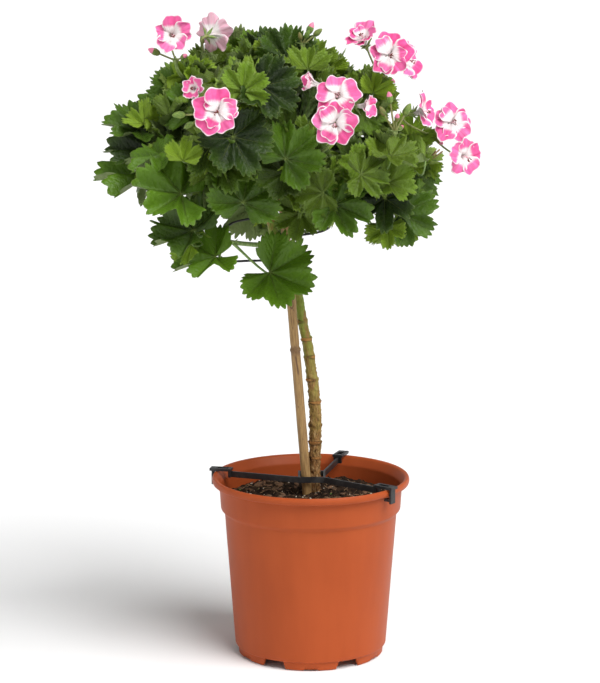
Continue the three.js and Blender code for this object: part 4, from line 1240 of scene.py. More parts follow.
@dataclass
class Cane:
    """The bamboo cane: a long taper with one swollen node, a slit under it and shallow dents."""

    radius: float = 4.5
    stations: int = 420
    sides: int = 40
    node_share: float = 0.652
    slit_length: float = 23.0

    def build(self, material: Material) -> None:
        """Makes the cane. Its radius swells by a narrow bell at the node and falls in a slit on the front.

        Args:
            material: the cane's finish.
        """
        foot, top = CANE_FOOT, CANE_TOP
        share = np.linspace(0, 1, self.stations)
        length = np.linalg.norm(top - foot)
        path = foot + share[:, None] * (top - foot)
        from_node = (share - self.node_share) * length
        radius = np.interp(share, [0, 0.3, 0.64, 0.66, 0.97, 1], [4.3, 4.5, 4.5, 4.35, 4.2, 4.0])
        radius += 0.75 * np.exp(-((from_node / 1.6) ** 2)) - 0.35 * np.exp(-(((from_node - 3.2) / 1.4) ** 2))
        cane = tubes(path[None], radius[None], self.sides)
        straight = cane.values["straight"]
        around = np.arctan2(straight[:, 1], straight[:, 0])
        along = straight[:, 2]
        front = self.front_angle(cane, path)
        turn = (around - front + math.pi) % (2 * math.pi) - math.pi
        cane.values["aside"] = turn * self.radius
        away = np.abs(turn)
        below = along - self.node_share * length
        slit = np.exp(-((away / 0.16) ** 2)) * smooth(-self.slit_length, -self.slit_length + 4, below)
        slit *= 1 - smooth(-3.0, 0.0, below)
        middle = foot + (along / length)[:, None] * (top - foot)
        ripple = 0.10 * waves(straight * np.array([1.0, 1.0, 0.08]), 4.0, 11)
        cane.points = cane.points + unit(cane.points - middle + 1e-9) * (ripple - 1.1 * slit)[:, None]
        Piece.make("bamboo_cane", cane, material, "bamboo", ["cane"])

    @staticmethod
    def front_angle(cane: Surface, path: Array) -> float:
        """The angle, in the tube's own coordinates, of the side that faces the front of the plant.

        Args:
            cane: the tube.
            path: its middle line.

        Returns:
            The angle in radians.
        """
        middle = path[len(path) // 2]
        near = np.abs(cane.points[:, 2] - middle[2]) < 2
        points, straight = cane.points[near], cane.values["straight"][near]
        at = np.argmin(points[:, 1])
        return float(math.atan2(straight[at, 1], straight[at, 0]))


@dataclass
class Trunk:
    """The trunk with its scars, scaly foot and the branches inside the crown."""

    sides: int = 48
    scar_swell: float = 0.9
    branch_radius: float = 3.6
    branch_taper: float = 1.2

    @staticmethod
    def branch_curve(name: str, count: int) -> Array:
        """A branch's curve, as (count, 3) points.

        Args:
            name: the branch.
            count: how many points.

        Returns:
            The points.
        """
        start, end = np.array(BRANCH_START, float), np.array(BRANCH_ENDS[name], float)
        control = start + 0.55 * (end - start)
        control[2] = start[2] + 0.2 * (end[2] - start[2])
        return bezier(start, control, end, count)[0]

    def stem(self) -> Surface:
        """The trunk: a tube through its route, with a ring at each scar and bark relief that fades upwards."""
        rows = catmull_rom(np.array(TRUNK_ROUTE), 22)
        rows[:, 3] = np.interp(rows[:, 2], [r[2] for r in TRUNK_ROUTE], [r[3] for r in TRUNK_ROUTE])
        scars = np.array(TRUNK_SCARS, float)
        gap = rows[:, 2][:, None] - scars[None, :]
        ring = np.where(gap < 0, np.exp(-((gap / 2.2) ** 2)), np.exp(-((gap / 0.8) ** 2))).max(axis=1)
        radius = rows[:, 3] + self.scar_swell * ring
        trunk = tubes(rows[None, :, :3], radius[None], self.sides)
        height = trunk.points[:, 2]
        straight = trunk.values["straight"]
        centre = np.stack([np.interp(height, rows[:, 2], rows[:, k]) for k in (0, 1)], -1)
        out = np.concatenate([trunk.points[:, :2] - centre, np.zeros((len(height), 1))], -1)
        out = out / np.maximum(np.linalg.norm(out, axis=1, keepdims=True), 1e-6)
        rough = 1 - smooth(210, 380, height)
        relief = 0.45 * waves(straight * np.array([1, 1, 0.5]), 3.2, 21) + 0.5 * waves(straight, 9.0, 22)
        fine = 0.25 * waves(straight, 1.7, 23)
        inside = np.hypot(straight[:, 0], straight[:, 1]) > 0.5
        trunk.points = trunk.points + out * ((relief * (0.25 + 0.9 * rough) + fine * rough) * inside)[:, None]
        scar_value = np.interp(height, rows[:, 2], np.where(ring > 0.2, ring, 0))
        side = 0.5 + 0.5 * np.sin(np.arctan2(straight[:, 1], straight[:, 0]) + 0.12 * height)
        return trunk.with_value("height", height).with_value("scar", scar_value * side)

    def branches(self) -> Surface:
        """The branches: tapered tubes along their curves."""
        paths = np.stack([self.branch_curve(name, 20) for name in BRANCH_ENDS])
        radii = np.broadcast_to(self.branch_radius - self.branch_taper * np.linspace(0, 1, 20), paths.shape[:2])
        surface = tubes(paths, radii, 16)
        return surface.with_value("height", 440.0).with_value("scar", 0.0)

    def build(self, material: Material) -> None:
        """Makes the trunk with its branches."""
        Piece.make("trunk_and_branches", Surface.join([self.stem(), self.branches()]), material, "bark", ["trunk"])


def point_on_cane(height: float) -> Array:
    """The cane's middle at a height, on the line from foot to top."""
    return CANE_FOOT + (height - CANE_FOOT[2]) / (CANE_TOP[2] - CANE_FOOT[2]) * (CANE_TOP - CANE_FOOT)


@dataclass
class CrownWire:
    """The black wire loop under the crown, wound round the cane at both of its ends, and the band round the trunk."""

    winding_radius: float = 6.15
    pitch: float = 2.6

    def winding(self, height: float, turns: float, start: float) -> Array:
        """A helix round the cane: points at a fixed radius that rise by the pitch in each turn.

        Args:
            height: where it starts.
            turns: how many.
            start: degrees of its first point.

        Returns:
            The points.
        """
        count = int(24 * turns)
        share = np.linspace(0, 1, count)
        angle = np.radians(start) - 2 * math.pi * turns * share
        centre = point_on_cane(height + WIRE_RADIUS)
        ring = np.stack([np.cos(angle), np.sin(angle), 0 * angle], -1) * self.winding_radius
        return np.array([centre[0], 0, height]) + ring + np.outer(self.pitch * turns * share, [0, 0, 1])

    def build(self, material: Material, band: Material) -> None:
        """Makes the wire and the band.

        Args:
            material: the wire's finish.
            band: the band's finish.
        """
        low, high = self.winding(376.3, 1.15, 300), self.winding(401.5, 1.15, 20)
        route = np.vstack([low[::4], WIRE_ROUTE, high[::4]])
        path = catmull_rom(route, 6)
        radii = np.full((1, len(path)), WIRE_RADIUS)
        Piece.make("wire_loop", tubes(path[None], radii, 12), material, "dark_wire", ["crown_wire"])
        moulded("trunk_tie", "cane_tie", band, 0.35)


# Leafy stems


@dataclass
class LeafSet:
    """Many leaves: their frames, lengths, petiole starts and youth."""

    junction: Array
    length: Array
    normal: Array
    tip: Array
    side: Array
    start: Array
    youth: Array

    @staticmethod
    def laid(junction: Array, length: Array, normal: Array, way: Array, start: Array, youth: Array) -> LeafSet:
        """Leaves whose tips point along a way, as near as their normals let them."""
        tip = unit(way - normal * dot(way, normal))
        return LeafSet(junction, length, normal, tip, np.cross(tip, normal), start, youth)

    def sheet(self, a: Array, b: Array, height: Array, half: Array | float) -> Array:
        """Points of both faces of each blade.

        Args:
            a: shares of the length across.
            b: shares along.
            height: shares over the plane.
            half: half the thickness.

        Returns:
            (leaves, n, 3) points.
        """
        length = self.length[:, None]
        place = self.junction[:, None] + self.side[:, None] * (a * length)[..., None]
        place = place + self.tip[:, None] * (b * length)[..., None]
        faces = [place + self.normal[:, None] * (height * length + sign * half)[..., None] for sign in (1, -1)]
        return np.concatenate(faces, axis=1)

    @staticmethod
    def join(sets: Sequence[LeafSet]) -> LeafSet:
        """One set that holds all of the given ones."""
        names = [column.name for column in fields(LeafSet)]
        return LeafSet(*(np.concatenate([getattr(s, name) for s in sets]) for name in names))

    def chosen(self, mask: Array) -> LeafSet:
        """The leaves that a mask picks."""
        return LeafSet(*(getattr(self, column.name)[mask] for column in fields(LeafSet)))


@dataclass(frozen=True)
class LeafAge:
    """What differs between grown, middle and young leaves: the shortest length and the outline's numbers."""

    shortest: float
    lobes: int
    limit: float
    sinus: float
    fold: tuple[float, float]


LEAF_AGES = [
    LeafAge(33.0, 2, 150.0, 0.22, (-0.08, 0.26)),
    LeafAge(26.0, 2, 146.0, 0.27, (-0.05, 0.4)),
    LeafAge(0.0, 1, 104.0, 0.36, (0.25, 0.85)),
]


@dataclass
class LeafForm:
    """The shape of a leaf in shares of its length: lobes, teeth, cup, folds, droop and thickness."""

    cup: float = 0.20
    sway: float = 0.13
    pleat: float = 0.15
    droop: float = 0.30
    lobe_step: float = 52.0
    thickness: float = 0.5
    tooth: tuple[float, float] = (0.07, 0.15)
    teeth_step: float = 8.7
    lobing: tuple[float, float] = (0.5, 1.5)
    ruffle: float = 0.036

    @staticmethod
    def with_pole(grid: Array) -> Array:
        """Rows of (leaves, rows, columns) values behind one value of 0 for the junction."""
        return np.concatenate([np.zeros((len(grid), 1)), grid.reshape(len(grid), -1)], axis=1)

    def edge_radius(self, age: LeafAge, angle: Array, depth: Array) -> Array:
        """Radius of the leaf's edge without teeth.

        The radius stays near its lobe's own until half way to the sinus and then falls by the sinus depth,
        (1 - depth smooth(0.42, 1, s)^1.2), with s the share of the way to the sinus. The lobes' own radius falls
        from 0.98 at the tip to 0.84 at the base, and the last stretch rounds in to the petiole.

        Args:
            age: the leaves' age.
            angle: degrees from the tip.
            depth: (leaves, 1) factors of the sinus depth.

        Returns:
            (leaves, angles) radii as shares of the length.
        """
        away = np.abs(angle)
        lobe = np.minimum(np.round(away / self.lobe_step), age.lobes)
        share = np.clip(np.abs(away - lobe * self.lobe_step) / (self.lobe_step / 2), 0, 1)
        outer = away > lobe * self.lobe_step
        share = np.where(outer & (lobe == age.lobes), 0, share)
        own = 0.98 - 0.14 * (away / 104) ** 1.5
        radius = own * (1 - depth * age.sinus * smooth(0.42, 1.0, share) ** 1.2)
        return radius * (1 - 0.36 * smooth(age.lobes * self.lobe_step + 6, age.limit + 12, away))

    @staticmethod
    def brightening(place: Array) -> Array:
        """What is added to the tone of the lowest leaves and of those on the left."""
        return 0.5 * smooth(455, 425, place[:, 2:]) + 0.35 * smooth(-60, -130, place[:, :1])

    def relief(self, a: Array, b: Array, cupping: Array, hanging: Array) -> Array:
        """Height over the plane: cup r^2, a fold along each main vein, pleat r cos, and a tip that hangs by droop b^2.

        Args:
            a: shares across.
            b: shares along.
            cupping: each leaf's factor of the cup.
            hanging: its factor of the droop.

        Returns:
            Heights as shares of the length.
        """
        reach = np.hypot(a, b)
        angle = np.degrees(np.arctan2(a, b))
        fold = np.cos(np.radians(angle * 360 / self.lobe_step))
        return self.cup * cupping * reach**2 - self.pleat * reach * fold - self.droop * hanging * np.maximum(b, 0) ** 2

    def blades(self, leaves: LeafSet, age: LeafAge, columns_per_tooth: int, rows: int, rng: Random) -> Surface:
        """The blades of all leaves of one age.

        A point is junction + side a L + tip b L + normal (relief(a, b) L + offset), with (a, b) on a polar grid that
        ends at the toothed edge.

        Args:
            leaves: the leaves.
            age: their age.
            columns_per_tooth: columns of the grid in each tooth.
            rows: rows from the junction to the edge.
            rng: draws each leaf's own shape and tone.

        Returns:
            The surface, with "blade", "edge", "tone" and "youth".
        """
        teeth = round(2 * age.limit / self.teeth_step)
        columns = teeth * columns_per_tooth + 1
        count = len(leaves.length)
        angle = np.linspace(-age.limit, age.limit, columns)
        edge = self.edge_radius(age, angle, rng.uniform(*self.lobing, (count, 1)))
        size = rng.uniform(*self.tooth, (count, teeth + 1))[:, np.arange(columns) // columns_per_tooth]
        within = (np.arange(columns) % columns_per_tooth) / columns_per_tooth
        edge = edge * (1 + size * ((1 - np.abs(2 * within - 1)) ** 0.65 - 0.5))
        share = np.linspace(0, 1, rows + 1)[1:] ** 0.85
        middle = np.median(edge, axis=1)[:, None, None]
        reach = (middle * (1 - share) + edge[:, :, None] * share) * share
        reach = reach.swapaxes(1, 2)
        a = self.with_pole(reach * np.sin(np.radians(angle)))
        b = self.with_pole(reach * np.cos(np.radians(angle)))
        out = np.concatenate([[0], np.repeat(share, columns)])
        turn = np.concatenate([[0], np.tile(angle, rows)])
        phase = rng.uniform(0, 2 * math.pi, (count, 2, 1))
        swing = rng.uniform(0.5, 1.6, (count, 1))
        ruffle = np.sin(np.radians(turn * 7)[None] + phase[:, 0])
        ruffle = ruffle + 0.7 * np.sin(np.radians(turn * 15)[None] + phase[:, 1])
        height = self.relief(a, b, rng.uniform(0.7, 1.9, (count, 1)), rng.uniform(0.3, 1.1, (count, 1)))
        height = height + self.ruffle * swing * ruffle * out[None] ** 2
        height = height + rng.uniform(-0.15, 0.15, (count, 1)) * a * np.abs(a)
        height = height + rng.uniform(*age.fold, (count, 1)) * (np.sqrt(a * a + 0.004) - 0.063)
        normal = unit(leaves.normal + rng.normal(0, self.sway, (count, 3)))
        tip = unit(leaves.tip - normal * dot(leaves.tip, normal))
        half = self.thickness / 2 * (1 - 0.5 * out**4)
        swayed = LeafSet(leaves.junction, leaves.length, normal, tip, np.cross(tip, normal), leaves.start, leaves.youth)
        size = a.shape[1]
        blade = np.zeros((count, 2 * size, 3))
        blade[:, :, 0], blade[:, :, 1] = np.tile(a, 2), np.tile(b, 2)
        blade[:, :size, 2] = 1
        inward = self.with_pole((edge[:, :, None] * (1 - share)).swapaxes(1, 2)) * leaves.length[:, None]
        inward[:, 0] = leaves.length
        spread = np.ones((1, 2 * size))
        values = {
            "blade": blade,
            "edge": np.tile(inward, 2),
            "tone": np.maximum(rng.uniform(0, 1, (count, 1)) ** 1.6 + self.brightening(leaves.junction), 0.3) * spread,
            "youth": leaves.youth[:, None] * spread,
        }
        return bladed(columns, rows, swayed.sheet(a, b, height, half), values)


@dataclass
class Crown:
    """The leafy stems: shoots, petioles, blades, stipules and the young leaves at each shoot's tip."""

    form: LeafForm = field(default_factory=LeafForm)
    stem_radius: float = 2.3
    petiole_radius: float = 0.95
    fillers: int = 4
    crowding: int = 8
    tip_leaves: int = 6
    dense_from: float = 452.0

    def stem_curve(self, name: str, count: int) -> Array:
        """A stem's curve from its branch to its shoot tip.

        Args:
            name: the stem.
            count: how many points.

        Returns:
            The points.
        """
        start, tip = STEMS[name]
        tip = np.array(tip, float)
        if isinstance(start[0], str):
            branch = Trunk.branch_curve(start[0], 5)
            place = start[1] * 4
            low = min(int(place), 3)
            first = branch[low] + (place - low) * (branch[low + 1] - branch[low])
        else:
            first = np.array(start, float)
        control = first + STEM_BEND * (tip - first)
        control[2] = first[2] + STEM_LIFT * (tip[2] - first[2])
        return bezier(first, control, tip, count)[0]

    def table_leaves(self, name: str) -> LeafSet:
        """The leaves of a stem that the front view shows, with petioles from spread places on the stem.

        Args:
            name: the stem.

        Returns:
            Its leaves.
        """
        rows = np.array(LEAVES.get(name, []), float).reshape(-1, 7)
        normal, tip, side = facing(rows[:, 4], rows[:, 5], rows[:, 6])
        length = rows[:, 3]
        youth = np.clip((30 - length) / 12, 0, 0.75)
        return self.on_stem(name, LeafSet(rows[:, :3], length, normal, tip, side, rows[:, :3], youth))

    def rosette_leaves(self, name: str, draw: Iterator[float]) -> LeafSet:
        """Leaves round a shoot tip by the golden angle, the oldest lowest and widest.

        Args:
            name: the stem.
            draw: the shared random numbers.

        Returns:
            Its leaves.
        """
        count, turn, layer = ROSETTES[name]
        tip = np.array(STEMS[name][1], float)
        axis = unit(tip - CROWN_CENTRE)
        order = np.arange(count)
        radial = around(axis, (0, 0, 1), turn + GOLDEN_ANGLE * order)
        drawn = np.array([next(draw) for _ in range(3 * count)]).reshape(count, 3)
        spread = 10 + 5 * order + 3 * drawn[:, 0]
        height = layer + 10 - 4 * order - spread**2 / (2 * CROWN_CURVE)
        junction = tip + radial * spread[:, None] + axis * height[:, None]
        normal = unit(axis + radial * (spread / CROWN_CURVE + 0.25 * drawn[:, 1])[:, None])
        length = 28 + 2.5 * order + 3 * drawn[:, 2]
        youth = np.clip(0.4 - 0.15 * order, 0, 1)
        return self.on_stem(name, LeafSet.laid(junction, length, normal, radial, junction, youth))

    def on_stem(self, name: str, leaves: LeafSet) -> LeafSet:
        """Gives each leaf its petiole's start: the nearer ones to the stem's foot start lower.

        Args:
            name: the stem.
            leaves: its leaves.

        Returns:
            The same leaves.
        """
        curve = self.stem_curve(name, 200)
        order = np.argsort(np.linalg.norm(leaves.junction - curve[0], axis=1), kind="stable")
        rank = np.empty(len(order))
        rank[order] = np.arange(len(order))
        share = NODES_FROM + (NODES_TO - NODES_FROM) * (rank + 0.5) / max(len(order), 1)
        leaves.start = curve[np.clip((share * 199).round().astype(int), 0, 199)]
        return leaves

    def filler_leaves(self, name: str, rng: Random) -> LeafSet:
        """Leaves inside the crown, round a stem by the golden angle.

        Args:
            name: the stem.
            rng: draws what differs from one to the next.

        Returns:
            The leaves.
        """
        curve = self.stem_curve(name, 200)
        count = self.fillers
        share = np.linspace(0.42, 0.9, count) + rng.uniform(-0.04, 0.04, count)
        start = curve[(share * 199).astype(int)]
        turn = rng.uniform(0, 360) + GOLDEN_ANGLE * np.arange(count)
        radial = around(unit(curve[-1] - curve[0]), (0.1, 0.2, 1), turn)
        outward = unit(start - CROWN_CENTRE + 1e-6)
        junction = start + radial * rng.uniform(14, 26, (count, 1)) + outward * rng.uniform(2, 12, (count, 1))
        outward = unit(junction - CROWN_CENTRE)
        normal = unit(outward + 0.35 * radial + np.array([0, -0.15, 0.35]) + rng.normal(0, 0.15, (count, 3)))
        way = unit(radial + 0.3 * rng.normal(size=(count, 3)) + np.array([0, 0, -0.3]))
        length = rng.uniform(26, 37, count)
        inner = LeafSet.laid(junction, length, normal, way, start, rng.uniform(0, 0.25, count))
        return inner.chosen(junction[:, 2] > self.dense_from)

    def crowding_leaves(self, name: str, rng: Random) -> LeafSet:
        """Smaller and more upright leaves between the outer ones round a shoot tip.

        Args:
            name: the stem.
            rng: draws what differs from one to the next.

        Returns:
            The leaves.
        """
        curve = self.stem_curve(name, 200)
        count = self.crowding
        axis = unit(curve[-1] - CROWN_CENTRE)
        radial = around(axis, (0.1, 0.2, 1), rng.uniform(0, 360) + GOLDEN_ANGLE * np.arange(count))
        junction = curve[-1] + radial * rng.uniform(8, 30, (count, 1)) + axis * rng.uniform(-9, 5, (count, 1))
        normal = unit(axis + 0.7 * radial + rng.normal(0, 0.3, (count, 3)))
        way = unit(radial + 0.5 * rng.normal(size=(count, 3)) + np.array([0, 0, 0.8]))
        length = rng.uniform(15, 25, count)
        start = curve[(rng.uniform(0.8, 0.97, count) * 199).astype(int)]
        small = LeafSet.laid(junction, length, normal, way, start, rng.uniform(0.1, 0.6, count))
        return small.chosen(junction[:, 2] > self.dense_from)

    def shoot_tips(self, name: str, rng: Random) -> LeafSet:
        """Small folded young leaves that stand round the shoot's tip.

        Args:
            name: the stem.
            rng: draws what differs from one to the next.

        Returns:
            The leaves.
        """
        curve = self.stem_curve(name, 200)
        axis = unit(curve[-1] - curve[-12])
        count = self.tip_leaves
        radial = around(axis, (0.3, 0.1, 1), rng.uniform(0, 360) + GOLDEN_ANGLE * np.arange(count))
        spread = np.linspace(3.0, 10.0, count)[:, None]
        rise = np.linspace(7.5, 1.0, count)[:, None]
        junction = curve[-1] + radial * spread + axis * rise
        normal = unit(axis * 0.55 - radial * 0.75)
        length = rng.uniform(11, 23, count)
        start = np.broadcast_to(curve[-1] - axis * 2, junction.shape).copy()
        way = unit(axis + radial * 0.4)
        return LeafSet.laid(junction, length, -normal, way, start, np.full(count, 0.85))

    def petioles(self, leaves: LeafSet) -> Surface:
        """Petioles: curves that leave the stem and meet each blade from below, thinner towards the blade.

        Args:
            leaves: the leaves that they carry.

        Returns:
            The tubes.
        """
        reach = np.linalg.norm(leaves.start - leaves.junction, axis=1)[:, None]
        end = leaves.junction - leaves.normal * 0.15
        paths = bezier(leaves.start, end - leaves.normal * 0.45 * reach, end, 14)
        slim = np.clip(leaves.length / 34, 0.45, 1.1)[:, None]
        radii = self.petiole_radius * slim * np.interp(np.linspace(0, 1, 14), [0, 0.12, 0.85, 1], [1.7, 1.2, 1.0, 1.25])
        return tubes(paths, radii, 8).with_value("blush", 0.0)

    def stipules(self, leaves: LeafSet, rng: Random) -> Surface:
        """Pairs of small pointed bracts where the petioles leave the stem.

        Args:
            leaves: the leaves that they stand by.
            rng: draws what differs from one to the next.

        Returns:
            The blades.
        """
        start = np.repeat(leaves.start, 2, axis=0)
        count = len(start)
        toward = unit(np.repeat(leaves.junction, 2, axis=0) - start)
        aside = unit(np.cross(toward, rng.normal(size=(count, 3))))
        tip = unit(toward * 0.5 + aside)
        normal = unit(np.cross(tip, np.cross(toward, tip)) + 1e-6)
        length = rng.uniform(4.5, 7.5, count)
        bracts = LeafSet(start + tip * 1.2, length, normal, tip, np.cross(tip, normal), start, np.zeros(count))
        return bract_surface(bracts, 0.28)

    def build(self, leaf: Material, shoot: Material) -> None:
        """Makes every leafy stem's blades and shoots, with the flower stalks that grow on them.

        Args:
            leaf: the blades' finish.
            shoot: the finish of all that is green and round.
        """
        draw = seeded_draw(SEED)
        stalks = FlowerStalks()
        for order, name in enumerate(STEMS):
            rng = np.random.default_rng(SEED + order)
            node = f"leafy_stem_{name}"
            own = [self.table_leaves(name)] if name in LEAVES else []
            if name in ROSETTES:
                own.append(self.rosette_leaves(name, draw))
            outer = LeafSet.join(own)
            inner = [self.filler_leaves(name, rng), self.shoot_tips(name, rng), self.crowding_leaves(name, rng)]
            inner = LeafSet.join(inner)
            blades = self.sorted_blades(outer, 4, 7, rng) + self.sorted_blades(inner, 2, 5, rng)
            Piece.make(f"leaves_{name}", Surface.join(blades), leaf, "foliage", [node])
            everyone = LeafSet.join([outer, inner])
            curve = self.stem_curve(name, 30)
            radii = np.linspace(self.stem_radius, self.stem_radius - 0.45, 30)
            radii = radii * (1 + 0.08 * np.maximum(0, np.cos(np.linspace(0, 9 * math.pi, 30))) ** 6)
            green = [tubes(curve[None], radii[None], 12).with_value("blush", 0.0), self.petioles(everyone)]
            green.append(self.stipules(outer, rng))
            green.extend(stalks.green_parts(name, curve[-1]))
            Piece.make(f"shoots_{name}", Surface.join(green), shoot, "foliage")

    def sorted_blades(self, leaves: LeafSet, per_tooth: int, rows: int, rng: Random) -> list[Surface]:
        """The blades of a set, by their age.

        Args:
            leaves: the set.
            per_tooth: columns in each tooth.
            rows: rows of the grid.
            rng: draws what differs from one to the next.

        Returns:
            One surface for each age.
        """
        blades, longest = [], math.inf
        for age in LEAF_AGES:
            chosen = (leaves.length >= age.shortest) & (leaves.length < longest)
            if chosen.any():
                blades.append(self.form.blades(leaves.chosen(chosen), age, per_tooth, rows, rng))
            longest = age.shortest
        return blades


def bract_surface(bracts: LeafSet, width: float, hollow: float = 0.25) -> Surface:
    """Stipules, sepals and bracts: thin blades whose half width is width sin(pi t^0.7) (1 - 0.2 t), with raised sides.

    Args:
        bracts: their frames; a bract starts at its junction and runs along its tip direction.
        width: the largest half width as a share of the length.
        hollow: how far the sides rise, as a share of the length.

    Returns:
        The surface, with the values of a green shoot.
    """
    rows, columns = 7, 5
    t = np.linspace(0, 1, rows + 1)[1:]
    across = np.linspace(-1, 1, columns)
    half = width * np.sin(math.pi * np.clip(t, 0, 0.985) ** 0.7) * (1 - 0.2 * t) + 0.01
    a = np.concatenate([[0], (half[:, None] * across).ravel()])
    b = np.concatenate([[0], np.repeat(t, columns)])
    rise = hollow * np.concatenate([[0], (half[:, None] * across**2).ravel()]) * 2 - 0.18 * b**2
    count, size = len(bracts.length), 2 * len(a)
    straight = np.zeros((count, size, 3))
    straight[:, :, 2] = np.tile(b, 2) * bracts.length[:, None]
    values = {"straight": straight, "blush": 0.1 * np.ones((count, size))}
    return bladed(columns, rows, bracts.sheet(a, b, rise, 0.2), values)


def seeded_draw(seed: int) -> Iterator[float]:
    """Random numbers from 0 to 1 by a linear congruence, the same as in the construction model.

    Args:
        seed: the first state.

    Returns:
        Numbers without end.
    """
    size = 2**32
    while True:
        seed = (1664525 * seed + 1013904223) % size
        yield seed / size


# Flowers


@dataclass
class FlowerStalks:
    """The green parts of the flower heads: stalks, hubs, pedicels, calyx tubes and bare pedicels."""

    stalk_radius: float = 1.5
    pedicel_radius: float = 0.85
    arch: float = 0.4
    throat: float = 7.0
    calyx_length: float = 5.5
    calyx_radius: float = 2.3
    bare_length: float = 22.0

    def curves(self, start: Array, end: Array, way: Array, count: int) -> Array:
        """Stalks that leave their start freely and reach their end along a way."""
        control = end - way * self.arch * np.linalg.norm(end - start, axis=-1, keepdims=True)
        return bezier(np.broadcast_to(start, end.shape), control, end, count)

    def green_parts(self, stem: str, root: Array) -> list[Surface]:
        """The green parts of every flower head on a stem.

        Args:
            stem: the stem's name.
            root: its shoot tip.

        Returns:
            Their surfaces.
        """
        parts = []
        for name, (owner, hub, buds, bare) in UMBELS.items():
            if owner != stem:
                continue
            hub = np.array(hub, float)
            stalk = self.curves(root[None], hub[None], np.array([[0, 0, 1.0]]), 18)
            radii = np.linspace(1.15, 1.0, 18)[None] * self.stalk_radius
            parts.append(tubes(stalk, radii, 10).with_value("blush", 0.1))
            parts.append(self.hub_surface(hub))
            blooms = np.array([row[1:] for row in BLOOMS if row[0] == name], float).reshape(-1, 8)
            if len(blooms):
                parts.append(self.calyxes(hub, blooms))
            if buds:
                rows = np.array(buds, float)
                way = unit(rows[:, :3] - hub)
                base = rows[:, :3] - way * rows[:, 3:4]
                paths = self.curves(hub, base, way, 10)
                parts.append(tubes(paths, np.full(paths.shape[:2], self.pedicel_radius), 7).with_value("blush", 0.35))
            if bare:
                angle = np.radians(GOLDEN_ANGLE * np.arange(bare))
                way = unit(np.stack([0.5 + 0.5 * np.cos(angle), 0.6 * np.sin(angle) - 0.1, 0.75 + 0 * angle], -1))
                paths = self.curves(hub, hub + way * self.bare_length, way, 10)
                radii = 0.62 * np.interp(np.linspace(0, 1, 10), [0, 0.85, 0.95, 1], [1.1, 1, 2.0, 1.2])
                parts.append(tubes(paths, np.tile(radii, (bare, 1)), 7).with_value("blush", 0.8))
        return parts

    def hub_surface(self, hub: Array) -> Surface:
        """The hub: a small knob with a ring of pointed bracts.

        Args:
            hub: its middle.

        Returns:
            The surface.
        """
        angle = np.radians(72 * np.arange(5) + 20.0)
        tip = unit(np.stack([np.cos(angle), np.sin(angle), 0.55 + 0 * angle], -1))
        up = np.broadcast_to(np.array([0, 0, 1.0]), tip.shape)
        normal = unit(up - tip * dot(up, tip))
        bracts = LeafSet(hub + tip * 0.8, np.full(5, 6.0), normal, tip, np.cross(tip, normal), tip, angle)
        path = hub + np.linspace(-2.4, 2.6, 9)[:, None] * np.array([[0, 0, 1.0]])
        knob = 2.6 * np.sqrt(np.clip(1 - np.linspace(-0.97, 0.97, 9) ** 2, 0.02, 1))
        ball = tubes(path[None], knob[None], 12).with_value("blush", 0.15)
        return Surface.join([ball, bract_surface(bracts, 0.2)])

    def calyxes(self, hub: Array, blooms: Array) -> Surface:
        """Pedicels and calyx tubes of the blooms of one head, with five sepals on each.

        Args:
            hub: where the pedicels start.
            blooms: rows of the bloom table without the name.

        Returns:
            The surface.
        """
        normal, down, side = facing(blooms[:, 4], blooms[:, 5], 0 * blooms[:, 5])
        back = blooms[:, :3] - normal * (self.throat + 0.3)
        base = back - normal * self.calyx_length
        paths = self.curves(hub, base, normal, 12)
        head = base[:, None] + normal[:, None] * (np.linspace(0.1, 1, 6) * self.calyx_length)[None, :, None]
        radii = np.concatenate([
            np.full(12, self.pedicel_radius),
            np.interp(np.linspace(0.1, 1, 6), [0, 0.5, 1], [1.0, 1.7, self.calyx_radius]),
        ])
        count = len(blooms)
        tube = tubes(np.concatenate([paths, head], 1), np.tile(radii, (count, 1)), 10).with_value("blush", 0.3)
        angle = np.radians(72 * np.arange(5) - 54)[None, :, None]
        radial = side[:, None] * np.cos(angle) + down[:, None] * np.sin(angle)
        lean = np.radians(26 + 30 * blooms[:, 6])[:, None, None]
        tip = unit(normal[:, None] * np.cos(lean) + radial * np.sin(lean)).reshape(-1, 3)
        radial = radial.reshape(-1, 3)
        start = np.repeat(back - normal * 1.5, 5, axis=0) + radial * 1.9
        face = unit(-radial + tip * dot(radial, tip))
        length = np.full(len(start), 8.5)
        sepals = LeafSet(start, length, face, tip, np.cross(tip, face), start, length)
        return Surface.join([tube, bract_surface(sepals, 0.19)])


@dataclass
class Buds:
    """Closed buds on the flower heads, some with pink petals showing at the tip."""

    width: float = 0.28
    ripe_from: float = 0.5

    def surface(self, rng: Random) -> Surface:
        """All buds: tubes along their pedicels with five low ribs, round below and pointed above.

        Args:
            rng: draws what differs from one to the next.

        Returns:
            The buds.
        """
        rows = np.array([(*hub, *bud) for _, hub, buds, _ in UMBELS.values() for bud in buds], float)
        hub, tip, length = rows[:, :3], rows[:, 3:6], rows[:, 6]
        way = unit(tip - hub)
        share = np.linspace(0, 1, 15)
        paths = (tip - way * length[:, None])[:, None] + way[:, None] * (share[None, :] * length[:, None])[..., None]
        body = self.width * np.interp(share, [0, 0.12, 0.4, 0.75, 0.93, 1], [0.35, 0.78, 1.0, 0.72, 0.34, 0.08])
        surface = tubes(paths, body[None] * length[:, None], 20, 0.07)
        per_bud = len(surface.points) // len(rows)
        along = surface.values["straight"][:, 2] / np.repeat(length, per_bud)
        ripeness = np.repeat(rng.uniform(0, 1, len(rows)) > self.ripe_from, per_bud)
        ripe = ripeness * smooth(0.5, 0.72, along)
        return surface.with_value("ripe", ripe).with_value("blush", np.repeat(rng.uniform(0, 0.8, len(rows)), per_bud))

    def build(self, material: Material) -> None:
        """Makes the buds."""
        Piece.make("flower_buds", self.surface(np.random.default_rng(BUD_SEED)), material, "petals")


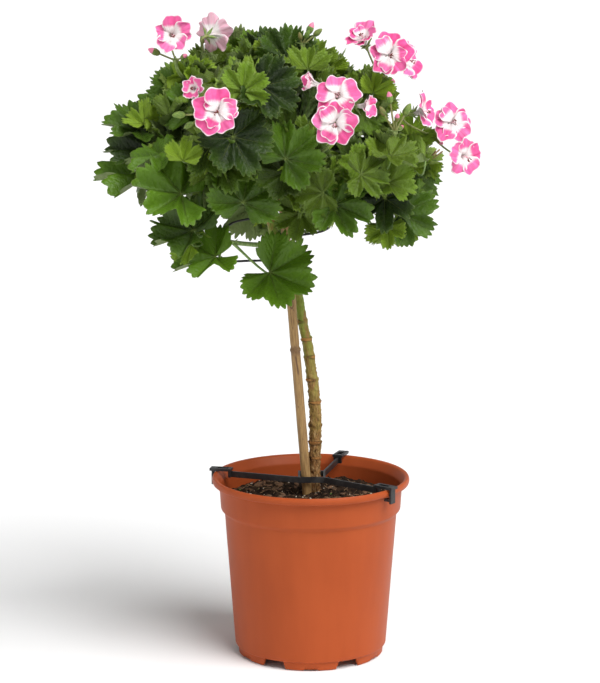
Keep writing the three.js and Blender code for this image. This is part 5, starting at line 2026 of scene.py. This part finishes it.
class Whorl(Enum):
    """The two petal layers of a bloom."""

    OUTER = "outer"
    INNER = "inner"


@dataclass
class Bloom:
    """One bloom: its petals in layers, on a throat, with stamens."""

    row: tuple
    order: int
    columns: int = 19
    rows: int = 17
    curl: float = 0.32
    bend: float = 0.2
    tilt: float = 0.1
    ruffle: float = 0.06
    thickness: float = 0.35
    throat_depth: float = 7.0
    filaments: int = 8

    def frame(self) -> tuple[Array, Array, Array, Array]:
        """The throat's middle and the bloom's normal, tip and side directions."""
        _, x, y, z, _, azimuth, elevation, _, _ = self.row
        normal, tip, side = facing(azimuth, elevation, 0)
        return np.array([x, y, z], float), normal, tip, side

    def whorl(self, layer: Whorl, rng: Random) -> Surface:
        """A layer of petals.

        A petal widens from its claw to two thirds of its length, and its end is round. Over its plane it rises by
        curl a^2 - bend b^2 + tilt a, with a ruffle at the end, and its claw dives into the throat.

        Args:
            layer: which layer.
            rng: draws each petal's small differences.

        Returns:
            The surface, with "petal", "rim", "tone" and "marks".
        """
        _, _, _, _, length, _, _, openness, inner = self.row
        lean = 22 + 62 * openness
        count, first, height, depth, broad = 5, -90.0, 0.0, self.throat_depth, 0.52
        if layer is Whorl.INNER:
            count, first, height, depth, broad = int(inner), -54.0, 1.2, 2.0, 0.47
            lean, length = 0.95 * lean, 0.84 * length
        centre, normal, tip, side = self.frame()
        angle = np.radians(first + 360 * np.arange(count) / count + rng.uniform(-5, 5, count))[:, None]
        radial = side * np.cos(angle) + tip * np.sin(angle)
        cross = np.cross(normal, radial)
        leans = np.radians(lean + rng.uniform(-5, 5, count))[:, None]
        out, up = np.sin(leans), np.cos(leans)
        u = np.linspace(-1, 1, self.columns)
        v = 1 - (1 - np.linspace(0, 1, self.rows + 1)[1:]) ** 1.35
        end = 1 - 0.27 * np.abs(u) ** 2.3
        half = 0.075 + (broad - 0.075) * smooth(0.0, 0.74, v)
        b = v[:, None] * end[None]
        a = half[:, None] * u[None] * (1 - 0.05 * v[:, None] ** 6)
        size = 1 + b.size
        a, b = np.concatenate([[0], a.ravel()]), np.concatenate([[0], b.ravel()])
        share = np.concatenate([[0], np.repeat(v, self.columns)])
        turn = np.concatenate([[0], np.tile(u, self.rows)])
        phase = rng.uniform(0, 2 * math.pi, (count, 2, 1))
        curl = self.curl * rng.uniform(0.7, 1.25, (count, 1))
        bend = self.bend * rng.uniform(0.6, 1.5, (count, 1))
        rise = curl * a**2 - bend * b**2 + self.tilt * rng.uniform(0.8, 2.2, (count, 1)) * a
        wave = np.sin(5.5 * turn[None] + phase[:, 0]) + 0.6 * np.sin(11 * turn[None] + phase[:, 1])
        rise = rise + self.ruffle * wave * share[None] ** 2
        dive = np.clip(1 - b / 0.26, 0, 1) ** 1.6
        scallop = 1 + 0.075 * np.sin(4.5 * turn[None] + phase[:, 1]) * share[None] ** 3
        long = length * rng.uniform(0.84, 1.07, (count, 1)) * scallop
        place = []
        for sign in (1, -1):
            over = rise * long + sign * self.thickness / 2
            reach = np.maximum(b[None] * long * out - over * up, 1.3 + 0.3 * sign)[..., None]
            lifted = (b[None] * long * up + over * out - dive[None] * (depth - 0.5))[..., None]
            wide = (a[None] * long)[..., None]
            place.append(centre + normal * height + radial[:, None] * reach + cross[:, None] * wide + normal * lifted)
        petal = np.zeros((count, 2 * size, 3))
        petal[:, :, 0], petal[:, :, 1] = np.tile(a, 2), np.tile(b * length / self.row[4], 2)
        petal[:, :size, 2] = 1
        to_end = (1 - share) * length
        to_side = (1 - np.abs(turn)) * np.interp(b, np.linspace(0, 1, 50), np.interp(
            np.linspace(0, 1, 50), v, half)) * length
        rim = np.minimum(to_end, to_side + (share < 0.3) * 3.0)
        rim[0] = 5.0
        spread = np.ones((count, 2 * size))
        tones = rng.uniform(0, 1, (count, 1))
        upper = (np.sin(angle) < 0.2).astype(float)
        values = {
            "petal": petal,
            "rim": np.tile(rim, 2)[None] * spread,
            "tone": tones * spread,
            "marks": (0.2 + 0.8 * upper) * spread,
        }
        return bladed(self.columns, self.rows, np.concatenate(place, axis=1), values)

    def stamens(self, rng: Random) -> tuple[Surface, Surface]:
        """Eight filaments that rise from the throat and bend down, with an anther on each.

        Args:
            rng: draws what differs from one to the next.

        Returns:
            Filaments and anthers.
        """
        centre, normal, tip, side = self.frame()
        count = self.filaments
        angle = rng.uniform(0, 2 * math.pi, (count, 1))
        spread = rng.uniform(0.4, 2.4, (count, 1))
        radial = side * np.cos(angle) + tip * np.sin(angle)
        reach = rng.uniform(7.5, 10.5, (count, 1)) * self.row[4] / 20
        start = centre + radial * 0.5 - normal * 4.0
        end = centre + normal * reach + radial * spread + tip * 1.6
        control = centre + normal * reach * 0.7 - tip * 0.8
        paths = bezier(start, control, end, 9)
        filaments = tubes(paths, np.full((count, 9), 0.22), 5)
        way = unit(rng.normal(size=(count, 3)))
        heads = end[:, None] + way[:, None] * np.linspace(-0.95, 0.95, 5)[None, :, None]
        anthers = tubes(heads, np.tile([0.2, 0.5, 0.55, 0.45, 0.15], (count, 1)), 6)
        return filaments, anthers

    def build(self, petal: Material, thread: Material, anther: Material) -> None:
        """Makes the bloom's petals, filaments and anthers.

        Args:
            petal: the petals' finish.
            thread: the filaments' finish.
            anther: the anthers' finish.
        """
        rng = np.random.default_rng(BLOOM_SEED + self.order)
        layers = [self.whorl(Whorl.OUTER, rng)]
        if self.row[8]:
            layers.append(self.whorl(Whorl.INNER, rng))
        node = f"bloom_{self.order:02d}"
        Piece.make(f"petals_{self.order:02d}", Surface.join(layers), petal, "petals", [node])
        if self.row[7] > 0.35:
            filaments, anthers = self.stamens(rng)
            Piece.make(f"filaments_{self.order:02d}", filaments, thread, "petals")
            Piece.make(f"anthers_{self.order:02d}", anthers, anther, "petals")


# The studio


@dataclass(frozen=True)
class Studio:
    """A pale floor, soft light and the camera of the front view."""

    focal_pixels: float = 2224.0
    frame_height: float = 683.0
    sensor: float = 36.0
    camera_x: float = -0.0102
    camera_distance: float = 2.07
    camera_z: float = 0.669
    pitch: float = 10.07
    ambient: float = 0.27
    wall_distance: float = 110.0
    wall_height: float = 22.0
    wall_sides: int = 64
    floor_reach: float = 120.0
    floor_drop: float = 0.0005

    def camera(self) -> None:
        """The camera: level with the crown's top and turned down, with the frame's height as its long side."""
        data = bpy.data.cameras.new("front_view")
        data.sensor_width = self.sensor
        data.lens = self.focal_pixels * self.sensor / self.frame_height
        camera = linked("front_view", data)
        camera.location = (POT_AXIS[0] * MM + self.camera_x, POT_AXIS[1] * MM - self.camera_distance, self.camera_z)
        camera.rotation_euler = (math.radians(90 - self.pitch), 0, 0)
        bpy.context.scene.camera = camera

    def floor(self) -> None:
        """A pale floor that the pot stands on."""
        mesh = bpy.data.meshes.new("floor")
        size = self.floor_reach
        corners = [(-size, -size, 0), (size, -size, 0), (size, size, 0), (-size, size, 0)]
        mesh.from_pydata(corners, [], [(0, 1, 2, 3)])
        finish = Finish("pale_floor", 0.8, base_color=(0.93, 0.93, 0.93), specular_ior_level=0.0)
        mesh.materials.append(finish.material)
        floor = linked("floor", mesh)
        floor.location = (0, 0, -self.floor_drop)

    def backdrop(self) -> None:
        """A white wall all round, far away, that meets the floor's edge."""
        turn = np.linspace(0, 2 * math.pi, self.wall_sides + 1)[:-1]
        ring = np.stack([np.cos(turn), np.sin(turn), 0 * turn], -1) * self.wall_distance
        points = np.concatenate([ring, ring + np.array([0, 0, self.wall_height])])
        first = np.arange(self.wall_sides)
        after = (first + 1) % self.wall_sides
        faces = np.stack([first, first + self.wall_sides, after + self.wall_sides, after], -1)
        mesh = bpy.data.meshes.new("backdrop")
        mesh.from_pydata(points.tolist(), [], faces.tolist())
        white = {"base_color": (0.0, 0.0, 0.0), "specular_ior_level": 0.0}
        finish = Finish("white_wall", 0.9, **white, emission_color=(1.0, 1.0, 1.0), emission_strength=1.0)
        mesh.materials.append(finish.material)
        linked("backdrop", mesh)

    def light(self, name: str, azimuth: float, elevation: float, spread: float, strength: float) -> None:
        """A broad far light, like a large softbox.

        Args:
            name: the light's name.
            azimuth: degrees from the front towards the right.
            elevation: degrees above the floor.
            spread: degrees that it fills, which softens its shadows.
            strength: its power for each square metre.
        """
        data = bpy.data.lights.new(name, "SUN")
        data.angle = math.radians(spread)
        data.energy = strength
        light = linked(name, data)
        light.rotation_euler = (math.radians(90 - elevation), 0.0, math.radians(azimuth))

    def build(self) -> None:
        """Makes the studio."""
        self.camera()
        self.floor()
        self.backdrop()
        world = bpy.data.worlds.new("studio")
        world.use_nodes = True
        world.node_tree.nodes["Background"].inputs["Color"].default_value = (1.0, 1.0, 1.0, 1.0)
        world.node_tree.nodes["Background"].inputs["Strength"].default_value = self.ambient
        bpy.context.scene.world = world
        bpy.context.scene.view_settings.view_transform = "Standard"
        self.light("key", 44.0, 52.0, 44.0, 3.6)
        self.light("fill", -50.0, 35.0, 50.0, 0.15)


def main() -> None:
    """Builds the plant and its studio in order."""
    logging.basicConfig(level=logging.INFO, format="%(message)s")
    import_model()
    Studio().build()
    NurseryPot().build(PotPlastic().build())
    Soil().build(Peat().build())
    black = PlainSkin("black_plastic", (0.012, 0.012, 0.013), (0.055, 0.053, 0.050), 0.38, 90.0, True).build()
    moulded("pot_bridge_moulding", "pot_bridge", black, 0.45)
    Cane().build(Bamboo().build())
    Trunk().build(Bark().build())
    wire = PlainSkin("dark_wire", (0.010, 0.010, 0.011), (0.030, 0.028, 0.026), 0.45, 90.0, True).build()
    band = PlainSkin("band", (0.12, 0.065, 0.035), (0.03, 0.018, 0.012), 0.7, 900.0).build()
    CrownWire().build(wire, band)
    Crown().build(LeafSkin().build(), GreenShoot().build())
    petal = PetalSkin().build()
    thread = PlainSkin("filament", (0.86, 0.62, 0.66), (0.80, 0.36, 0.46), 0.5, 900.0).build()
    anther = PlainSkin("anther", (0.22, 0.045, 0.03), (0.09, 0.02, 0.02), 0.7, 1500.0).build()
    for order, row in enumerate(BLOOMS, 1):
        Bloom(row, order).build(petal, thread, anther)
    Buds().build(BudSkin().build())
    LOG.info("triangles in all: %d", sum(Piece.made.values()))
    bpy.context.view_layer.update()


if __name__ == "__main__":
    main()
